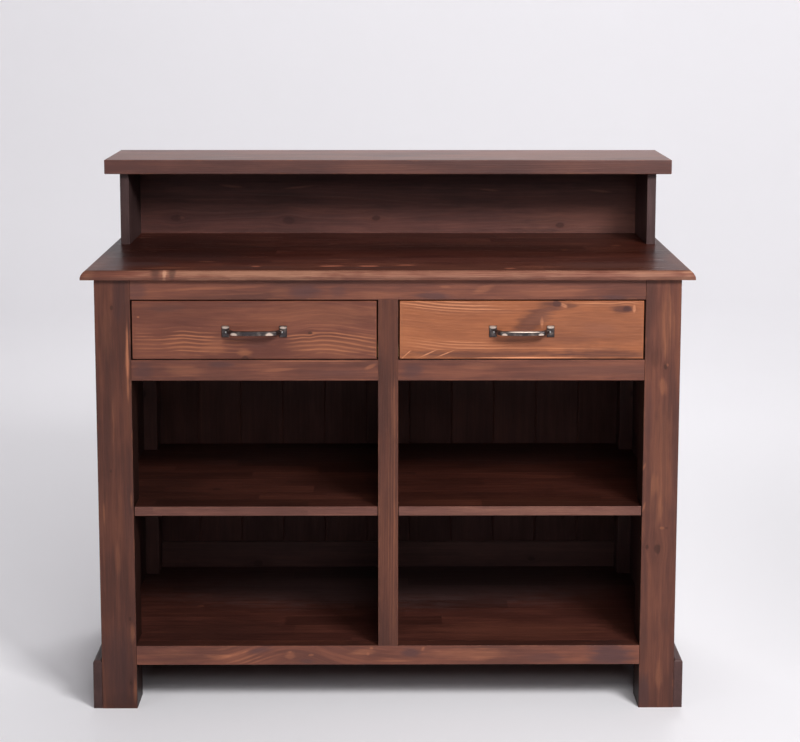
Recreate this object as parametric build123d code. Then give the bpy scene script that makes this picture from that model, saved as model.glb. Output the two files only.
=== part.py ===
from build123d import *
import os

# A bar counter with open shelves, two drawers and a raised ledge along its far side.
# Lengths are in millimetres. The shelf side is the front and faces -Y, X runs along the
# counter and Z is up. The origin is on the floor, under the middle of the overall box.
# Pieces that come in pairs are made once, for the left (-X) side, and mirrored.

# ---- Carcass ----
body_width = 1160.0              # over the outer faces of the legs
body_depth = 490.0               # front faces of the front legs to back faces of the rear legs
body_height = 884.0              # floor to the underside of the worktop
leg_width = 71.0                 # front legs, along X
leg_depth = 72.0                 # all legs, along Y
rear_leg_width = 60.0
frame_thickness = 28.0           # rails and stile of the front frame
stile_width = 40.0
top_rail_height = 41.0
drawer_opening_height = 121.0
drawer_rail_height = 42.0
bottom_rail_height = 40.0
bottom_rail_clearance = 92.0     # floor to the underside of the bottom rail
side_panel_inset = 12.0          # outer face of the side panel behind the legs' outer faces
side_panel_thickness = 18.0
side_rail_height = 41.0
side_rail_thickness = 38.0
divider_thickness = 18.0
plinth_height = 100.0
plinth_thickness = 18.0
plinth_setback = 1.0             # front end of the side plinths behind the legs' front faces
plinth_round = 5.0               # upper outer edge of the plinth boards

# ---- Rear frame, towards the guests ----
rear_rail_thickness = 22.0
rear_rail_inset = 4.0            # back faces of the rails behind the legs' back faces
rear_top_rail_height = 60.0
rear_bottom_rail_height = 99.0
rear_drawer_rail_height = 60.0
rear_drawer_rail_drop = 24.0     # its underside below the tops of the drawer runners
back_board_thickness = 12.0
back_board_setback = 5.0         # front faces of the boards behind the rails' front faces
back_board_count = 11
back_board_gap = 0.6             # between neighbouring boards
back_board_chamfer = 2.0         # V joint on both faces
board_tongue_depth = 5.0
board_tongue_thickness = 4.0

# ---- Shelves ----
shelf_height = 422.0             # floor to the top of the middle shelves
shelf_thickness = 19.0
bottom_shelf_thickness = 20.0
shelf_setback = 1.0              # front edges behind the front frame's faces
shelf_gap = 1.5                  # round the legs, the stile and the back
cleat_width = 20.0
cleat_height = 20.0
cleat_end_gap = 4.0
cleat_screw_inset = 40.0         # first and last screw from the ends of a cleat

# ---- Worktop, hutch and ledge ----
worktop_thickness = 18.0
worktop_end_overhang = 25.0      # past the legs' outer faces
worktop_front_overhang = 12.0
worktop_back_overhang = 46.0
moulding_lip = 3.5               # plain edge under the moulding
moulding_depth = 10.0
moulding_bulge = 2.2             # of its arc past the chord
hutch_height = 155.0
hutch_depth = 186.0
hutch_back_inset = 12.0          # from the worktop's back edge
hutch_side_thickness = 19.0
hutch_back_thickness = 18.0
ledge_thickness = 31.0
ledge_end_overhang = 30.0        # past the hutch sides
ledge_front_overhang = 20.0
ledge_back_overhang = 20.0
ledge_round = 2.0

# ---- Drawers ----
drawer_front_thickness = 20.0
drawer_front_gap = 3.0           # beside and above the front, to the frame
drawer_front_foot_gap = 2.2      # below the front
drawer_side_thickness = 14.0
drawer_side_height = 99.0
drawer_side_gap = 3.0            # between a drawer side and the frame
drawer_housing_depth = 6.0       # the sides' ends let into the front
drawer_back_thickness = 14.0
drawer_bottom_thickness = 6.0
drawer_bottom_lift = 10.0        # groove above the sides' lower edges
drawer_groove_depth = 6.0
drawer_rear_gap = 1.0            # closed drawer to the rear drawer rail
drawer_travel = 300.0
slide_gap = 0.5                  # drawer sides above the runners
guide_gap = 1.0
runner_thickness = 20.0
guide_height = 20.0
kicker_gap = 2.0                 # drawer to the kicker above it
kicker_width = 40.0
kicker_height = 40.0
stop_depth = 20.0
stop_height = 14.0
stop_gap = 2.0                   # left at the end of the travel

# ---- Pulls ----
pull_centres = 114.0             # between the middles of the two plates
pull_drop = 3.0                  # below the middle of the drawer front
pull_projection = 26.0
pull_bar_thickness = 7.0
pull_bar_height = 9.2            # at the middle of the bow
pull_foot_height = 7.0           # at the plates
pull_foot_width = 10.0
pull_foot_shift = 2.0            # feet inward of the plates' middles
pull_shoulder_in = 16.0          # from a foot to the shoulder of the bow
pull_shoulder_back = 3.0         # shoulder behind the middle of the bow
pull_bend = 6.0                  # radius at the shoulder
pull_edge_round = 2.0
plate_width = 15.0
plate_height = 23.0
plate_thickness = 3.0
plate_bevel = 1.4

# ---- Joints and fasteners ----
edge_round = 2.0                 # arrises that hands reach
small_round = 1.0                # arrises of thin pieces
joint_gap = 0.2                  # round tenons and tongues
joint_end_gap = 1.0              # beyond their ends
fit_gap = 0.5                    # round notches
tenon_length = 25.0
stile_tenon_length = 16.0
tenon_thickness = 10.0
tenon_shoulder = 6.0             # the rail stands past its tenon above and below
tongue_thickness = 8.0
tongue_depth = 8.0
screw_diameter = 4.0
screw_head_diameter = 8.0
screw_head_height = 2.4
screw_gap = 0.1                  # round a screw or dowel in its hole
counterbore_diameter = 10.0
counterbore_depth = 15.0
worktop_screw_length = 38.0
worktop_screw_spots = (150.0, 440.0)     # from the middle, on both sides
hutch_screw_length = 50.0
hutch_back_screw_spots = (-350.0, 0.0, 350.0)
hutch_fixing_inset = 45.0        # screws and dowels from the ends of a hutch side
cleat_screw_length = 27.0
dowel_diameter = 8.0
dowel_length = 36.0
ledge_dowel_spots = (-450.0, -180.0, 180.0, 450.0)
pull_screw_reach = 8.0           # past the drawer's face, into the foot
waste = 5.0                      # how far a cutter runs past the wood

# ---- Planes that several pieces share ----
rear_reach = worktop_back_overhang + max(0.0, ledge_back_overhang - hutch_back_inset)
front_y = (worktop_front_overhang - body_depth - rear_reach) / 2
back_y = front_y + body_depth
frame_back_y = front_y + frame_thickness
front_leg_back_y = front_y + leg_depth
rear_leg_front_y = back_y - leg_depth
rear_rail_back_y = back_y - rear_rail_inset
rear_rail_front_y = rear_rail_back_y - rear_rail_thickness
board_front_y = rear_rail_front_y + back_board_setback
board_back_y = board_front_y + back_board_thickness
leg_outer_x = body_width / 2
leg_inner_x = leg_outer_x - leg_width
rear_leg_inner_x = leg_outer_x - rear_leg_width
side_outer_x = leg_outer_x - side_panel_inset
side_inner_x = side_outer_x - side_panel_thickness
stile_x = stile_width / 2
divider_x = divider_thickness / 2
bottom_rail_top = bottom_rail_clearance + bottom_rail_height
bottom_shelf_underside = bottom_rail_top - bottom_shelf_thickness
shelf_underside = shelf_height - shelf_thickness
top_rail_underside = body_height - top_rail_height
runner_top = top_rail_underside - drawer_opening_height
drawer_rail_underside = runner_top - drawer_rail_height
worktop_end_x = leg_outer_x + worktop_end_overhang
worktop_top = body_height + worktop_thickness
worktop_front_y = front_y - worktop_front_overhang
worktop_back_y = back_y + worktop_back_overhang
hutch_back_y = worktop_back_y - hutch_back_inset
hutch_front_y = hutch_back_y - hutch_depth
ledge_end_x = leg_outer_x + ledge_end_overhang
ledge_underside = worktop_top + hutch_height
drawer_underside = runner_top + slide_gap
drawer_outer_x = leg_inner_x - drawer_side_gap
drawer_inner_x = stile_x + drawer_side_gap
drawer_rear_y = rear_rail_front_y - rear_rail_thickness - drawer_rear_gap
drawer_middle_x = (leg_inner_x + stile_x) / 2
pull_z = (runner_top + top_rail_underside) / 2 - pull_drop
kicker_underside = drawer_underside + drawer_side_height + kicker_gap


# ---- Helpers ----
def block(x, y, z):
    """A box given by its two faces across each axis."""
    spans = [sorted(pair) for pair in (x, y, z)]
    size = [high - low for low, high in spans]
    centre = [(high + low) / 2 for low, high in spans]
    return Pos(*centre) * Box(*size)


def grown(spans, gap):
    """The same box with every face moved outwards."""
    return [(min(pair) - gap, max(pair) + gap) for pair in spans]


def eased(piece, *axes, radius=edge_round):
    """The piece with its edges along the given axes rounded."""
    for axis in axes:
        piece = fillet(piece.edges().filter_by(axis), radius)
    return piece


def tenon_bar(rail, along, across, reach, gap=0.0):
    """A bar that stands out of both ends of a rail as its tenons.

    along and across are the numbers of the axes that the rail runs along and is thin in, and
    reach is how far the bar stands out. With a gap, the bar cuts the mortises instead.
    """
    spans = [tuple(sorted(pair)) for pair in rail]
    end_gap = joint_end_gap if gap else 0.0
    bar = []
    for number, (low, high) in enumerate(spans):
        middle = (low + high) / 2
        if number == along:
            bar.append((low - reach - end_gap, high + reach + end_gap))
        elif number == across:
            bar.append((middle - tenon_thickness / 2 - gap, middle + tenon_thickness / 2 + gap))
        else:
            bar.append((low + tenon_shoulder - gap, high - tenon_shoulder + gap))
    return block(*bar)


def mirrored(piece):
    return mirror(piece, Plane.YZ)


def upright_pin(x, y, z, diameter, length):
    """A cylinder that stands on the level z."""
    return Pos(x, y, z + length / 2) * Cylinder(diameter / 2, length)


def upright_screw(x, y, z, length):
    """A countersunk screw whose head's face is at the level z, pointing up."""
    head = Pos(x, y, z + screw_head_height / 2) * Cone(
        screw_head_diameter / 2, screw_diameter / 2, screw_head_height
    )
    return head + upright_pin(x, y, z, screw_diameter, length)


def upright_screw_hole(x, y, z, length):
    """The hole of an upright screw, clear of it all round."""
    head = Pos(x, y, z + screw_head_height / 2) * Cone(
        screw_head_diameter / 2 + screw_gap, screw_diameter / 2 + screw_gap, screw_head_height
    )
    shank_diameter = screw_diameter + 2 * screw_gap
    return head + upright_pin(x, y, z, shank_diameter, length + joint_end_gap)


# ---- Spans of the rails, which their own tenons and the legs' mortises follow ----
top_rail = ((-leg_inner_x, leg_inner_x), (front_y, frame_back_y), (top_rail_underside, body_height))
bottom_rail = (
    (-leg_inner_x, leg_inner_x),
    (front_y, frame_back_y),
    (bottom_rail_clearance, bottom_rail_top),
)
drawer_rail = (
    (-leg_inner_x, -stile_x),
    (front_y, frame_back_y),
    (drawer_rail_underside, runner_top),
)
centre_stile = (
    (-stile_x, stile_x),
    (front_y, frame_back_y),
    (bottom_rail_top, top_rail_underside),
)
rear_top_rail = (
    (-rear_leg_inner_x, rear_leg_inner_x),
    (rear_rail_front_y, rear_rail_back_y),
    (body_height - rear_top_rail_height, body_height),
)
rear_bottom_rail = (
    (-rear_leg_inner_x, rear_leg_inner_x),
    (rear_rail_front_y, rear_rail_back_y),
    (bottom_rail_clearance, bottom_rail_clearance + rear_bottom_rail_height),
)
rear_drawer_rail = (
    (-rear_leg_inner_x, rear_leg_inner_x),
    (rear_rail_front_y - rear_rail_thickness, rear_rail_front_y),
    (
        runner_top - rear_drawer_rail_drop,
        runner_top - rear_drawer_rail_drop + rear_drawer_rail_height,
    ),
)
side_rail = (
    (-side_outer_x, -side_outer_x + side_rail_thickness),
    (front_leg_back_y, rear_leg_front_y),
    (bottom_shelf_underside - side_rail_height, bottom_shelf_underside),
)
side_panel = (
    (-side_outer_x, -side_inner_x),
    (front_leg_back_y, rear_leg_front_y),
    (bottom_shelf_underside, body_height),
)
back_panel = (
    (-rear_leg_inner_x, rear_leg_inner_x),
    (board_front_y, board_back_y),
    (rear_bottom_rail[2][1], rear_top_rail[2][0]),
)
front_leg = (
    (-leg_outer_x, -leg_inner_x),
    (front_y, front_leg_back_y),
    (0.0, body_height),
)
rear_leg = (
    (-leg_outer_x, -rear_leg_inner_x),
    (rear_leg_front_y, back_y),
    (0.0, body_height),
)


# The walls of the left bay: where each stands, and the way from it into the bay.
outer_wall = (-side_inner_x, 1)
inner_wall = (-divider_x, -1)


# ---- Carcass pieces ----
def side_panel_tongue(gap=0.0):
    """The tongues on the side panel's upright edges, or with a gap their grooves."""
    middle_x = (side_panel[0][0] + side_panel[0][1]) / 2
    reach = tongue_depth + (joint_end_gap if gap else 0.0)
    return block(
        (middle_x - tongue_thickness / 2 - gap, middle_x + tongue_thickness / 2 + gap),
        (side_panel[1][0] - reach, side_panel[1][1] + reach),
        side_panel[2],
    )


def back_panel_groove():
    """The groove that holds the back boards at their ends and at the legs."""
    x, y, z = back_panel
    y = (y[0] - joint_gap, y[1] + joint_gap)
    reach = tongue_depth + joint_end_gap
    return block((x[0] - reach, x[1] + reach), y, (z[0] - reach, z[1] + reach))


def make_front_leg():
    leg = eased(block(*front_leg), Axis.Z)
    for rail in (top_rail, bottom_rail, drawer_rail):
        leg -= tenon_bar(rail, along=0, across=1, reach=tenon_length, gap=joint_gap)
    leg -= tenon_bar(side_rail, along=1, across=0, reach=tenon_length, gap=joint_gap)
    return leg - side_panel_tongue(gap=joint_gap)


def make_rear_leg():
    leg = eased(block(*rear_leg), Axis.Z)
    for rail in (rear_top_rail, rear_bottom_rail, rear_drawer_rail):
        leg -= tenon_bar(rail, along=0, across=1, reach=tenon_length, gap=joint_gap)
    leg -= tenon_bar(side_rail, along=1, across=0, reach=tenon_length, gap=joint_gap)
    return leg - side_panel_tongue(gap=joint_gap) - back_panel_groove()


def shelf_tongue(gap=0.0):
    """The tongues on the bottom shelf's long edges, or with a gap their grooves."""
    middle_z = (bottom_shelf_underside + bottom_rail_top) / 2
    reach = tongue_depth + (joint_end_gap if gap else 0.0)
    half_length = leg_inner_x - tenon_length + (joint_end_gap if gap else 0.0)
    return block(
        (-half_length, half_length),
        (frame_back_y - reach, rear_rail_front_y + reach),
        (middle_z - tongue_thickness / 2 - gap, middle_z + tongue_thickness / 2 + gap),
    )


def worktop_screw_places():
    """Middles of the screws that hold the worktop, in the front and the rear top rail."""
    front_middle = (front_y + frame_back_y) / 2
    rear_middle = (rear_rail_front_y + rear_rail_back_y) / 2
    places = []
    for spot in worktop_screw_spots:
        for x in (-spot, spot):
            places += [(x, front_middle, top_rail_underside), (x, rear_middle, rear_top_rail[2][0])]
    return places


def make_worktop_screws():
    return Compound(children=[
        upright_screw(x, y, rail_underside + counterbore_depth, screw_length_in(rail_underside))
        for x, y, rail_underside in worktop_screw_places()
    ])


def screw_length_in(rail_underside):
    """The length that brings every worktop screw equally far into the worktop."""
    return worktop_screw_length + top_rail_underside - rail_underside


def bored_for_worktop(piece):
    """The piece with the holes of the worktop screws, counterbored from below."""
    for x, y, rail_underside in worktop_screw_places():
        head_z = rail_underside + counterbore_depth
        bore = upright_pin(x, y, rail_underside - waste, counterbore_diameter, counterbore_depth + waste)
        piece -= bore + upright_screw_hole(x, y, head_z, screw_length_in(rail_underside))
    return piece


def make_top_rail():
    rail = eased(block(*top_rail), Axis.X, radius=small_round)
    rail += tenon_bar(top_rail, along=0, across=1, reach=tenon_length)
    rail -= tenon_bar(centre_stile, along=2, across=1, reach=tenon_length, gap=joint_gap)
    return bored_for_worktop(rail)


def make_bottom_rail():
    rail = eased(block(*bottom_rail), Axis.X, radius=small_round)
    rail += tenon_bar(bottom_rail, along=0, across=1, reach=tenon_length)
    rail -= tenon_bar(centre_stile, along=2, across=1, reach=tenon_length, gap=joint_gap)
    return rail - shelf_tongue(gap=joint_gap)


def make_centre_stile():
    stile = eased(block(*centre_stile), Axis.Z, radius=small_round)
    stile += tenon_bar(centre_stile, along=2, across=1, reach=tenon_length)
    bar = tenon_bar(drawer_rail, along=0, across=1, reach=stile_tenon_length, gap=joint_gap)
    return stile - bar - mirrored(bar)


def make_drawer_rail():
    """A rail under a drawer, with a short tenon in the stile and a long one in the leg."""
    rail = eased(block(*drawer_rail), Axis.X, radius=small_round)
    long_bar = tenon_bar(drawer_rail, along=0, across=1, reach=tenon_length)
    short_bar = tenon_bar(drawer_rail, along=0, across=1, reach=stile_tenon_length)
    past_stile_tenon = block(
        (-stile_x + stile_tenon_length, stile_x + tenon_length), drawer_rail[1], drawer_rail[2]
    )
    return rail + short_bar + (long_bar - past_stile_tenon)


def make_side_rail():
    return block(*side_rail) + tenon_bar(side_rail, along=1, across=0, reach=tenon_length)


def make_side_panel():
    panel = block(*side_panel) + side_panel_tongue()
    for hole in cleat_fixings(*outer_wall, hole=True):
        panel -= hole
    return panel


def make_side_plinth():
    board = block(
        (-leg_outer_x - plinth_thickness, -leg_outer_x),
        (front_y + plinth_setback, back_y + plinth_thickness),
        (0.0, plinth_height),
    )
    board = eased(board, Axis.Z, radius=small_round)
    upper_edge = board.edges().filter_by(Axis.Y).group_by(Axis.Z)[-1].sort_by(Axis.X)[0]
    return fillet(upper_edge, plinth_round)


def make_rear_plinth():
    board = block(
        (-leg_outer_x, leg_outer_x), (back_y, back_y + plinth_thickness), (0.0, plinth_height)
    )
    upper_edge = board.edges().filter_by(Axis.X).group_by(Axis.Z)[-1].sort_by(Axis.Y)[-1]
    return fillet(upper_edge, plinth_round)


def make_rear_top_rail():
    rail = block(*rear_top_rail) + tenon_bar(rear_top_rail, along=0, across=1, reach=tenon_length)
    return bored_for_worktop(rail - back_panel_groove())


def make_rear_bottom_rail():
    rail = block(*rear_bottom_rail)
    rail += tenon_bar(rear_bottom_rail, along=0, across=1, reach=tenon_length)
    return rail - back_panel_groove() - shelf_tongue(gap=joint_gap)


def make_rear_drawer_rail():
    rail = block(*rear_drawer_rail)
    return rail + tenon_bar(rear_drawer_rail, along=0, across=1, reach=tenon_length)


def make_back_boards():
    """Upright boards with tongues and grooves between them, let into the rear frame."""
    low_x = back_panel[0][0] - tongue_depth
    high_x = back_panel[0][1] + tongue_depth
    z = (back_panel[2][0] - tongue_depth, back_panel[2][1] + tongue_depth)
    middle_y = (board_front_y + board_back_y) / 2
    pitch = (high_x - low_x + back_board_gap) / back_board_count
    boards = []
    for number in range(back_board_count):
        left = low_x + number * pitch
        right = left + pitch - back_board_gap
        board = block((left, right), (board_front_y, board_back_y), z)
        board = chamfer(board.edges().filter_by(Axis.Z), back_board_chamfer)
        if number > 0:
            groove_y = grown([(middle_y, middle_y)], board_tongue_thickness / 2 + joint_gap)[0]
            board -= block((left, left + board_tongue_depth), groove_y, z)
        if number < back_board_count - 1:
            tongue_y = grown([(middle_y, middle_y)], board_tongue_thickness / 2)[0]
            board += block((right, right + board_tongue_depth), tongue_y, z)
        boards.append(board)
    return Compound(children=boards)


def make_centre_divider():
    panel = block(
        (-divider_x, divider_x),
        (frame_back_y, board_front_y - fit_gap),
        (bottom_rail_top, body_height),
    )
    for rail in (rear_top_rail, rear_bottom_rail, rear_drawer_rail):
        panel -= block(*grown(rail, fit_gap))
    for hole in cleat_fixings(*inner_wall, hole=True):
        panel -= hole + mirrored(hole)
    return panel


# ---- Shelves and what carries them ----
def leg_notches(gap):
    """The four legs, grown by a gap, to be cut out of a shelf."""
    notches = block(*grown(front_leg, gap)) + block(*grown(rear_leg, gap))
    return notches + mirrored(notches)


def make_bottom_shelf():
    shelf = block(
        (-side_inner_x, side_inner_x),
        (frame_back_y, rear_rail_front_y),
        (bottom_shelf_underside, bottom_rail_top),
    )
    return shelf + shelf_tongue() - leg_notches(fit_gap)


def make_middle_shelf():
    shelf = block(
        (-side_inner_x, -divider_x),
        (front_y + shelf_setback, board_front_y - shelf_gap),
        (shelf_underside, shelf_height),
    )
    shelf = shelf - leg_notches(shelf_gap) - block(*grown(centre_stile, shelf_gap))
    front_edges = shelf.edges().filter_by(Axis.X).group_by(Axis.Y)[0]
    return fillet(front_edges, small_round)


def cleat_y():
    return (front_leg_back_y + cleat_end_gap, rear_leg_front_y - cleat_end_gap)


def cleat_fixings(wall_x, inwards, hole=False):
    """The screws of the cleat on the wall at wall_x, driven into that wall, or their holes."""
    low, high = cleat_y()
    spots = (low + cleat_screw_inset, (low + high) / 2, high - cleat_screw_inset)
    make = upright_screw_hole if hole else upright_screw
    screw = Rot(Y=-90 * inwards) * make(0, 0, 0, cleat_screw_length)
    head_x = wall_x + inwards * cleat_width
    return [Pos(head_x, y, shelf_underside - cleat_height / 2) * screw for y in spots]


def make_cleat_screws():
    screws = cleat_fixings(*outer_wall) + cleat_fixings(*inner_wall)
    return Compound(children=screws + [mirrored(screw) for screw in screws])


def make_cleat(wall_x, inwards):
    """A cleat under a middle shelf, on the wall at wall_x and reaching inwards from it."""
    cleat = block(
        (wall_x, wall_x + inwards * cleat_width),
        cleat_y(),
        (shelf_underside - cleat_height, shelf_underside),
    )
    for hole in cleat_fixings(wall_x, inwards, hole=True):
        cleat -= hole
    return cleat


# ---- What carries and guides the drawers ----
def make_outer_runner():
    """The runner at the side, with its guide between the legs and notches round them."""
    runner_y = (frame_back_y, rear_drawer_rail[1][0])
    base = block(
        (-side_inner_x, -drawer_outer_x + drawer_side_thickness),
        runner_y,
        (runner_top - runner_thickness, runner_top),
    )
    guide = block(
        (-side_inner_x, -drawer_outer_x - guide_gap),
        (front_leg_back_y + fit_gap, rear_leg_front_y - fit_gap),
        (runner_top, runner_top + guide_height),
    )
    return base + guide - leg_notches(fit_gap)


def make_inner_runner():
    """The runner on the divider, with its guide."""
    runner_y = (frame_back_y, rear_drawer_rail[1][0])
    base = block(
        (-drawer_inner_x - drawer_side_thickness, -divider_x),
        runner_y,
        (runner_top - runner_thickness, runner_top),
    )
    guide = block(
        (-drawer_inner_x + guide_gap, -divider_x),
        runner_y,
        (runner_top, runner_top + guide_height),
    )
    return base + guide


def make_kicker():
    """The batten over a drawer, which keeps the open drawer from tipping."""
    return block(
        (-drawer_middle_x - kicker_width / 2, -drawer_middle_x + kicker_width / 2),
        (frame_back_y, rear_rail_front_y),
        (kicker_underside, kicker_underside + kicker_height),
    )


def make_drawer_stop():
    """The block under the kicker that the drawer's back meets at the end of the travel."""
    back = drawer_rear_y - drawer_back_thickness - drawer_travel - stop_gap
    return block(
        (-drawer_middle_x - kicker_width / 2, -drawer_middle_x + kicker_width / 2),
        (back - stop_depth, back),
        (kicker_underside - stop_height, kicker_underside),
    )


# ---- Worktop, hutch and ledge ----
def moulding_waste(length):
    """What a moulding cutter takes off one edge: inwards is +X, up is +Z, along is Y."""
    outline = [
        Line((-waste, moulding_lip), (0, moulding_lip)),
        SagittaArc((0, moulding_lip), (moulding_depth, worktop_thickness), moulding_bulge),
        Polyline(
            (moulding_depth, worktop_thickness),
            (moulding_depth, worktop_thickness + waste),
            (-waste, worktop_thickness + waste),
            (-waste, moulding_lip),
        ),
    ]
    return extrude(Plane.XZ * make_face(Curve() + outline), amount=length / 2, both=True)


def make_worktop():
    top = block(
        (-worktop_end_x, worktop_end_x),
        (worktop_front_y, worktop_back_y),
        (body_height, worktop_top),
    )
    depth = worktop_back_y - worktop_front_y
    end_waste = moulding_waste(depth + 2 * waste)
    long_waste = moulding_waste(2 * worktop_end_x + 2 * waste)
    top -= Pos(-worktop_end_x, 0, body_height) * end_waste
    top -= Pos(worktop_end_x, 0, body_height) * Rot(Z=180) * end_waste
    top -= Pos(0, worktop_front_y, body_height) * Rot(Z=90) * long_waste
    top -= Pos(0, worktop_back_y, body_height) * Rot(Z=-90) * long_waste
    for x, y in hutch_screw_places():
        top -= upright_screw_hole(x, y, body_height, hutch_screw_length)
    return bored_for_worktop(top)


def hutch_end_places():
    """Places along a hutch side where it has a screw below and a dowel above."""
    x = leg_outer_x - hutch_side_thickness / 2
    front = hutch_front_y + hutch_fixing_inset
    rear = hutch_back_y - hutch_fixing_inset
    return [(side * x, y) for side in (-1, 1) for y in (front, rear)]


def hutch_back_middle_y():
    return hutch_back_y - hutch_back_thickness / 2


def hutch_screw_places():
    return hutch_end_places() + [(x, hutch_back_middle_y()) for x in hutch_back_screw_spots]


def ledge_dowel_places():
    return hutch_end_places() + [(x, hutch_back_middle_y()) for x in ledge_dowel_spots]


def bored_for_hutch(piece):
    """The piece with the holes of the screws below the hutch and the dowels above it."""
    for x, y in hutch_screw_places():
        piece -= upright_screw_hole(x, y, body_height, hutch_screw_length)
    for x, y in ledge_dowel_places():
        hole_length = dowel_length + 2 * joint_end_gap
        hole_z = ledge_underside - hole_length / 2
        piece -= upright_pin(x, y, hole_z, dowel_diameter + 2 * screw_gap, hole_length)
    return piece


def make_hutch_side():
    board = block(
        (-leg_outer_x, -leg_outer_x + hutch_side_thickness),
        (hutch_front_y, hutch_back_y),
        (worktop_top, ledge_underside),
    )
    front_edges = board.edges().filter_by(Axis.Z).group_by(Axis.Y)[0]
    return bored_for_hutch(fillet(front_edges, small_round))


def make_hutch_back():
    inner_x = leg_outer_x - hutch_side_thickness
    board = block(
        (-inner_x, inner_x),
        (hutch_back_y - hutch_back_thickness, hutch_back_y),
        (worktop_top, ledge_underside),
    )
    return bored_for_hutch(board)


def make_top_ledge():
    board = block(
        (-ledge_end_x, ledge_end_x),
        (hutch_front_y - ledge_front_overhang, hutch_back_y + ledge_back_overhang),
        (ledge_underside, ledge_underside + ledge_thickness),
    )
    return bored_for_hutch(fillet(board.edges(), ledge_round))


def make_hutch_screws():
    return Compound(children=[
        upright_screw(x, y, body_height, hutch_screw_length) for x, y in hutch_screw_places()
    ])


def make_ledge_dowels():
    return Compound(children=[
        upright_pin(x, y, ledge_underside - dowel_length / 2, dowel_diameter, dowel_length)
        for x, y in ledge_dowel_places()
    ])


# ---- Drawer pieces ----
drawer_front = (
    (-leg_inner_x + drawer_front_gap, -stile_x - drawer_front_gap),
    (front_y, front_y + drawer_front_thickness),
    (runner_top + drawer_front_foot_gap, top_rail_underside - drawer_front_gap),
)
drawer_side_y = (front_y + drawer_front_thickness - drawer_housing_depth, drawer_rear_y)
drawer_side_z = (drawer_underside, drawer_underside + drawer_side_height)
bottom_z = (
    drawer_underside + drawer_bottom_lift,
    drawer_underside + drawer_bottom_lift + drawer_bottom_thickness,
)
outer_side = ((-drawer_outer_x, -drawer_outer_x + drawer_side_thickness), drawer_side_y, drawer_side_z)
inner_side = ((-drawer_inner_x - drawer_side_thickness, -drawer_inner_x), drawer_side_y, drawer_side_z)


def drawer_bottom_sheet(gap=0.0):
    """The drawer's bottom sheet, or with a gap the groove that takes it."""
    reach = drawer_groove_depth - (0.0 if gap else joint_end_gap)
    return block(
        (outer_side[0][1] - reach, inner_side[0][0] + reach),
        (front_y + drawer_front_thickness - reach, drawer_rear_y),
        (bottom_z[0] - gap, bottom_z[1] + gap),
    )


def pull_screw_spots():
    foot_x = pull_centres / 2 - pull_foot_shift
    return (-drawer_middle_x - foot_x, -drawer_middle_x + foot_x)


def pull_screw(x, gap=0.0):
    """A screw from inside the drawer front into a foot of the pull."""
    back_face = front_y + drawer_front_thickness
    radius = screw_diameter / 2 + gap
    length = drawer_front_thickness + pull_screw_reach + gap
    shank = Pos(x, back_face - length / 2, pull_z) * Rot(X=90) * Cylinder(radius, length)
    if gap:
        return shank
    head = Pos(x, back_face + screw_head_height / 2, pull_z) * Rot(X=90) * Cylinder(
        screw_head_diameter / 2, screw_head_height
    )
    return shank + head


def make_drawer_front():
    front = block(*drawer_front)
    face_edges = front.edges().group_by(Axis.Y)[0]
    front = fillet(face_edges, small_round)
    for side in (outer_side, inner_side):
        front -= block(*grown(side, joint_gap))
    front -= drawer_bottom_sheet(gap=joint_gap)
    for x in pull_screw_spots():
        front -= pull_screw(x, gap=screw_gap)
    return front


def make_drawer_side(side):
    return block(*side) - drawer_bottom_sheet(gap=joint_gap)


def make_drawer_back():
    return block(
        (outer_side[0][1], inner_side[0][0]),
        (drawer_rear_y - drawer_back_thickness, drawer_rear_y),
        (bottom_z[1] + joint_gap, drawer_side_z[1]),
    )


def pull_bow():
    """The bowed bar and its feet, in plan and in elevation, about the middle of the pull."""
    foot_middle = pull_centres / 2 - pull_foot_shift
    foot_out = foot_middle + pull_foot_width / 2
    foot_in = foot_middle - pull_foot_width / 2
    outer_shoulder = (foot_out - pull_shoulder_in, -pull_projection + pull_shoulder_back)
    inner_shoulder = (
        foot_in - pull_shoulder_in + pull_bar_thickness / 2,
        outer_shoulder[1] + pull_bar_thickness,
    )
    outline = [
        Polyline((-foot_out, 0), (-outer_shoulder[0], outer_shoulder[1])),
        ThreePointArc(
            (-outer_shoulder[0], outer_shoulder[1]), (0, -pull_projection), outer_shoulder
        ),
        Polyline(outer_shoulder, (foot_out, 0), (foot_in, 0), inner_shoulder),
        ThreePointArc(
            inner_shoulder,
            (0, -pull_projection + pull_bar_thickness),
            (-inner_shoulder[0], inner_shoulder[1]),
        ),
        Polyline((-inner_shoulder[0], inner_shoulder[1]), (-foot_in, 0), (-foot_out, 0)),
    ]
    plan = make_face(Curve() + outline)
    shoulders = plan.vertices().filter_by(lambda corner: corner.Y < -plate_thickness)
    plan = fillet(shoulders, pull_bend)
    bow = extrude(plan, amount=pull_bar_height, both=True)
    end = foot_out + waste
    front_view = [
        ThreePointArc(
            (-end, pull_foot_height / 2), (0, pull_bar_height / 2), (end, pull_foot_height / 2)
        ),
        Line((end, pull_foot_height / 2), (end, -pull_foot_height / 2)),
        ThreePointArc(
            (end, -pull_foot_height / 2), (0, -pull_bar_height / 2), (-end, -pull_foot_height / 2)
        ),
        Line((-end, -pull_foot_height / 2), (-end, pull_foot_height / 2)),
    ]
    elevation = extrude(Plane.XZ * make_face(Curve() + front_view), amount=2 * pull_projection, both=True)
    bow = bow & elevation
    upright_edges = bow.edges().filter_by(Axis.Z)
    edges_on_drawer = bow.edges().group_by(Axis.Y)[-1]
    return fillet(bow.edges() - upright_edges - edges_on_drawer, pull_edge_round)


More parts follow.
